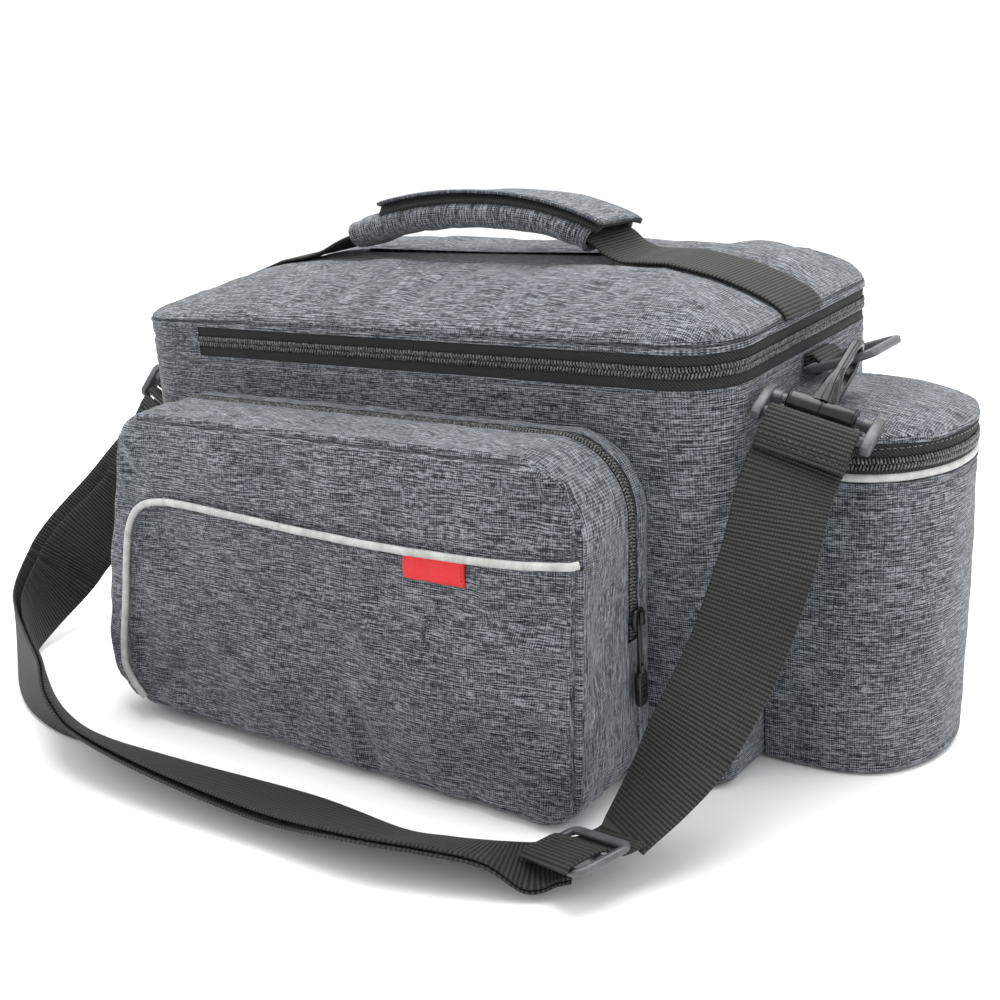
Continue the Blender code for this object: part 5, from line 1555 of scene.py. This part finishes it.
def build_front_run():
    """From a sewn tail, round the right hook's bar, down to the slider and over its middle bar."""
    _, along, face, tip = hook_axes(1)
    bar = bar_centre(1)
    place = slider_matrix()
    half, thick = SLIDER_LENGTH / 2, SLIDER_BAR
    far_bar = half - thick / 2
    under = SLIDER_THICKNESS / 2 + STRAP_THICKNESS / 2 + 3 * GAP
    # Along the slider, and above its middle
    through = [
        (half + 0.008, -under - 0.0005), (far_bar, -under), (far_bar - thick * 0.9, -under * 0.75),
        (thick * 0.75, under * 0.85), (0.0, under), (-far_bar, under),
        (-far_bar - thick * 0.6, under * 0.9), (-far_bar - thick, under * 0.4),
    ]
    end = [place @ Vector((0, l, n)) for l, n in through]
    stations = []
    for way, right, away, _ in FRONT_RUN:
        stations.append(bar.lerp(end[0], way) + Vector((right, away, 0)) * STRAP_BOW)
    across = [Vector(wide) for *_, wide in FRONT_RUN]
    down = (stations[0] - bar).normalized()
    front = down.cross(along).normalized()
    lap = STRAP_THICKNESS + 2 * GAP
    near = bar + down * 0.009
    tail = [bar + down * STRAP_TAIL * 0.95 + front * lap * 1.2, near + front * lap * 2.1]
    start = tail + wrapped(bar, face, tip) + [near - front * 0.0006]
    slider_across = place.to_3x3() @ Vector((1, 0, 0))
    middle = smooth_run([start[-1]] + stations + end[:1], 10)
    centres = start[:-1] + middle + end[1:]
    widths = [along] * (len(start) - 1) + smooth_run([along] + across + [slider_across], 10)
    widths += [slider_across] * (len(end) - 1)
    strap_band("strap_front_band", centres, widths, ["strap_front_run"])
    for number, share in enumerate((0.30, 0.62)):
        name, at = f"strap_tail_stitches_{number}", tail[1].lerp(tail[0], share)
        web_stitches(name, at, along, front, STRAP_WIDTH * 0.92, STRAP_THICKNESS, 0.0028, 0.0020)


def build_lying_run():
    """Two layers from the slider, along the surface and round the left hook's bar."""
    _, along, face, tip = hook_axes(-1)
    bar = bar_centre(-1)
    edges, across, shares = [], [], []
    for x, y, z, wide, inside, slip in LYING_RUN:
        wide = Vector(wide).normalized()
        foot = Vector((x * HALF_LENGTH, y * HALF_WIDTH, z * RING_HEIGHT))
        edges.append(foot + wide * STRAP_WIDTH / 2)
        across.append(wide)
        shares.append(Vector((inside, slip, 0)))
    steps = 9
    around = face * STRAP_RADIUS
    centres = smooth_run(edges + [bar - tip * 0.014 + around, bar + around], steps)
    widths = smooth_run(across + [along, along], steps)
    shares = smooth_run(shares + [Vector((4.2, 0, 0))] * 2, steps)
    over = wrapped(bar, face, tip)[1:]
    outer_widths = widths + [along] * len(over)
    strap_band("strap_outer_band", centres + over, outer_widths, ["strap_outer_layer"])
    second = []
    for centre, (side, out), share in zip(centres, frames(centres, widths), shares):
        point = centre + out * (share.x * STRAP_THICKNESS) - side * (share.y * STRAP_THICKNESS)
        low_edge = point.z - abs(side.z) * STRAP_WIDTH / 2 - abs(out.z) * STRAP_THICKNESS / 2
        point.z += max(0.0, GAP - low_edge)
        second.append(point)
    cut = steps + 1
    second = second[:-cut] + [bar - tip * 0.010 - around, bar - tip * 0.0022 - around]
    strap_band("strap_inner_band", second, widths[:-cut] + [along, along], ["strap_inner_layer"])


# The pulls


def mirrored(half):
    return half + [(-x, y) for x, y in half[::-1]]


def build_pull(name, place):
    """A slider with its bridge, two cords and a moulded tab with four grip ribs."""
    bm = bmesh.new()
    w, h, t = PULL_SLIDER
    axes = ((1, 0, 0), (0, 1, 0), (0, 0, 1))
    outline = mirrored([(w * 0.30, h * 0.55), (w * 0.5, h * 0.2), (w * 0.42, -h * 0.5)])
    bridge = [(-0.0018, -h * 0.34), (0.0018, -h * 0.34), (0.0018, h * 0.42), (-0.0018, h * 0.42)]
    add_block(bm, outline, t * 0.55, (0, 0, t * 0.30), axes, 0.0006, 2)
    add_block(bm, bridge, t * 0.5, (0, 0, t * 0.80), axes, 0.0006, 2)
    tab_top = h / 2 + PULL_CORD_LENGTH
    for x in (-0.0009, 0.0009):
        add_cylinder(bm, PULL_CORD * 0.78, tab_top + 0.002, (x, -tab_top / 2, t / 2), "Y", 12)
    add_cylinder(bm, PULL_CORD * 1.5, 0.0045, (0, -tab_top + 0.001, t / 2), "Y", 16)
    a, b, c = PULL_TAB
    tab = [(-a * 0.32, 0.0), (-a * 0.5, -b * 0.14), (-a * 0.46, -b * 0.9), (-a * 0.30, -b)]
    add_block(bm, mirrored(tab), c, (0, -tab_top, t / 2), axes, 0.0008, 3)
    for k in range(4):
        rib = (0, -tab_top - b * (0.3 + 0.15 * k), t / 2 + c / 2)
        add_cylinder(bm, 0.0011, a * 0.62, rib, "X", 10)
    finish_moulding(f"{name}_moulding", bm, place, BLACK, name)


def build_pulls():
    height = POCKET_ZIP_END + PULL_SLIDER[1]
    side = HALF_LENGTH - POCKET_RIGHT - POCKET_RIGHT_LEAN * (1 - height / POCKET_TOP)
    seat = in_front(side + COIL_RISE, height, POCKET_TAPE * 0.72)
    build_pull("pocket_zip_pull", placed(seat, (0, 1, 0), (0, 0, 1), (1, 0, 0)))
    coil_z = lifted((0, HALF_WIDTH, TAPE_BASE + TAPE_HEIGHT / 2)).z
    seat = (ZIP_X + 0.02, HALF_WIDTH + COIL_RISE * 0.6, coil_z)
    build_pull("main_zip_pull", placed(seat, (-1, 0, 0), (0, 0, 1), (0, 1, 0)))


# The studio


def add_light(name, location, target, size, energy):
    data = bpy.data.lights.new(name, "AREA")
    data.shape = "RECTANGLE"
    data.size, data.size_y = size
    data.energy = energy
    light = link_piece(name, data)
    light.location = location
    light.rotation_mode = "QUATERNION"
    light.rotation_quaternion = (Vector(target) - Vector(location)).to_track_quat("-Z", "Y")


def build_studio():
    """A white room, and the camera fitted to the photograph."""
    bm = bmesh.new()
    bmesh.ops.create_grid(bm, x_segments=1, y_segments=1, size=6.0)
    floor = new_piece("floor", bm)
    floor.location.z = -0.0004
    paper = Shader("white_paper", (0.93, 0.93, 0.93), 0.9, Specular_IOR_Level=0.1)
    grain = paper.noise(0.002, 0.002, 2.0, "Object")
    paper.colour(paper.ramp(grain, (0.2, (0.925, 0.925, 0.925)), (0.8, (0.935, 0.935, 0.935))))
    floor.data.materials.append(paper.material)

    scene = bpy.context.scene
    scene.world = bpy.data.worlds.new("white_studio")
    scene.world.use_nodes = True
    background = scene.world.node_tree.nodes["Background"]
    background.inputs["Color"].default_value = (1.0, 1.0, 1.0, 1.0)
    background.inputs["Strength"].default_value = WORLD_LIGHT
    add_light("key_from_left", (-0.9, -1.1, 1.5), (0.0, 0.0, 0.1), (1.2, 1.2), 3.0)
    add_light("top_soft", (0.1, 0.2, 1.8), (0.0, 0.0, 0.1), (1.6, 1.6), 42.0)
    add_light("right_edge", (1.3, 0.3, 0.9), (0.1, 0.0, 0.12), (0.5, 1.0), 4.0)
    scene.view_settings.view_transform = "Standard"

    data = bpy.data.cameras.new("camera")
    data.sensor_width, data.lens = CAMERA_SENSOR, CAMERA_LENS
    scene.camera = link_piece("camera", data)
    back, right = Vector(CAMERA_BACK).normalized(), Vector(CAMERA_RIGHT)
    right = (right - back * right.dot(back)).normalized()
    scene.camera.matrix_world = placed(CAMERA_AT, right, back.cross(right), back)


build_body()
build_lid()
build_main_zip()
build_side_pocket()
build_pocket_zip()
build_pocket_trim()
build_bottle_pocket()
build_handle()
for side, label in ((1, "right"), (-1, "left")):
    build_ring(side, label)
    build_hook(side, label)
build_slider()
build_front_run()
build_lying_run()
build_pulls()
build_studio()

bpy.context.view_layer.update()
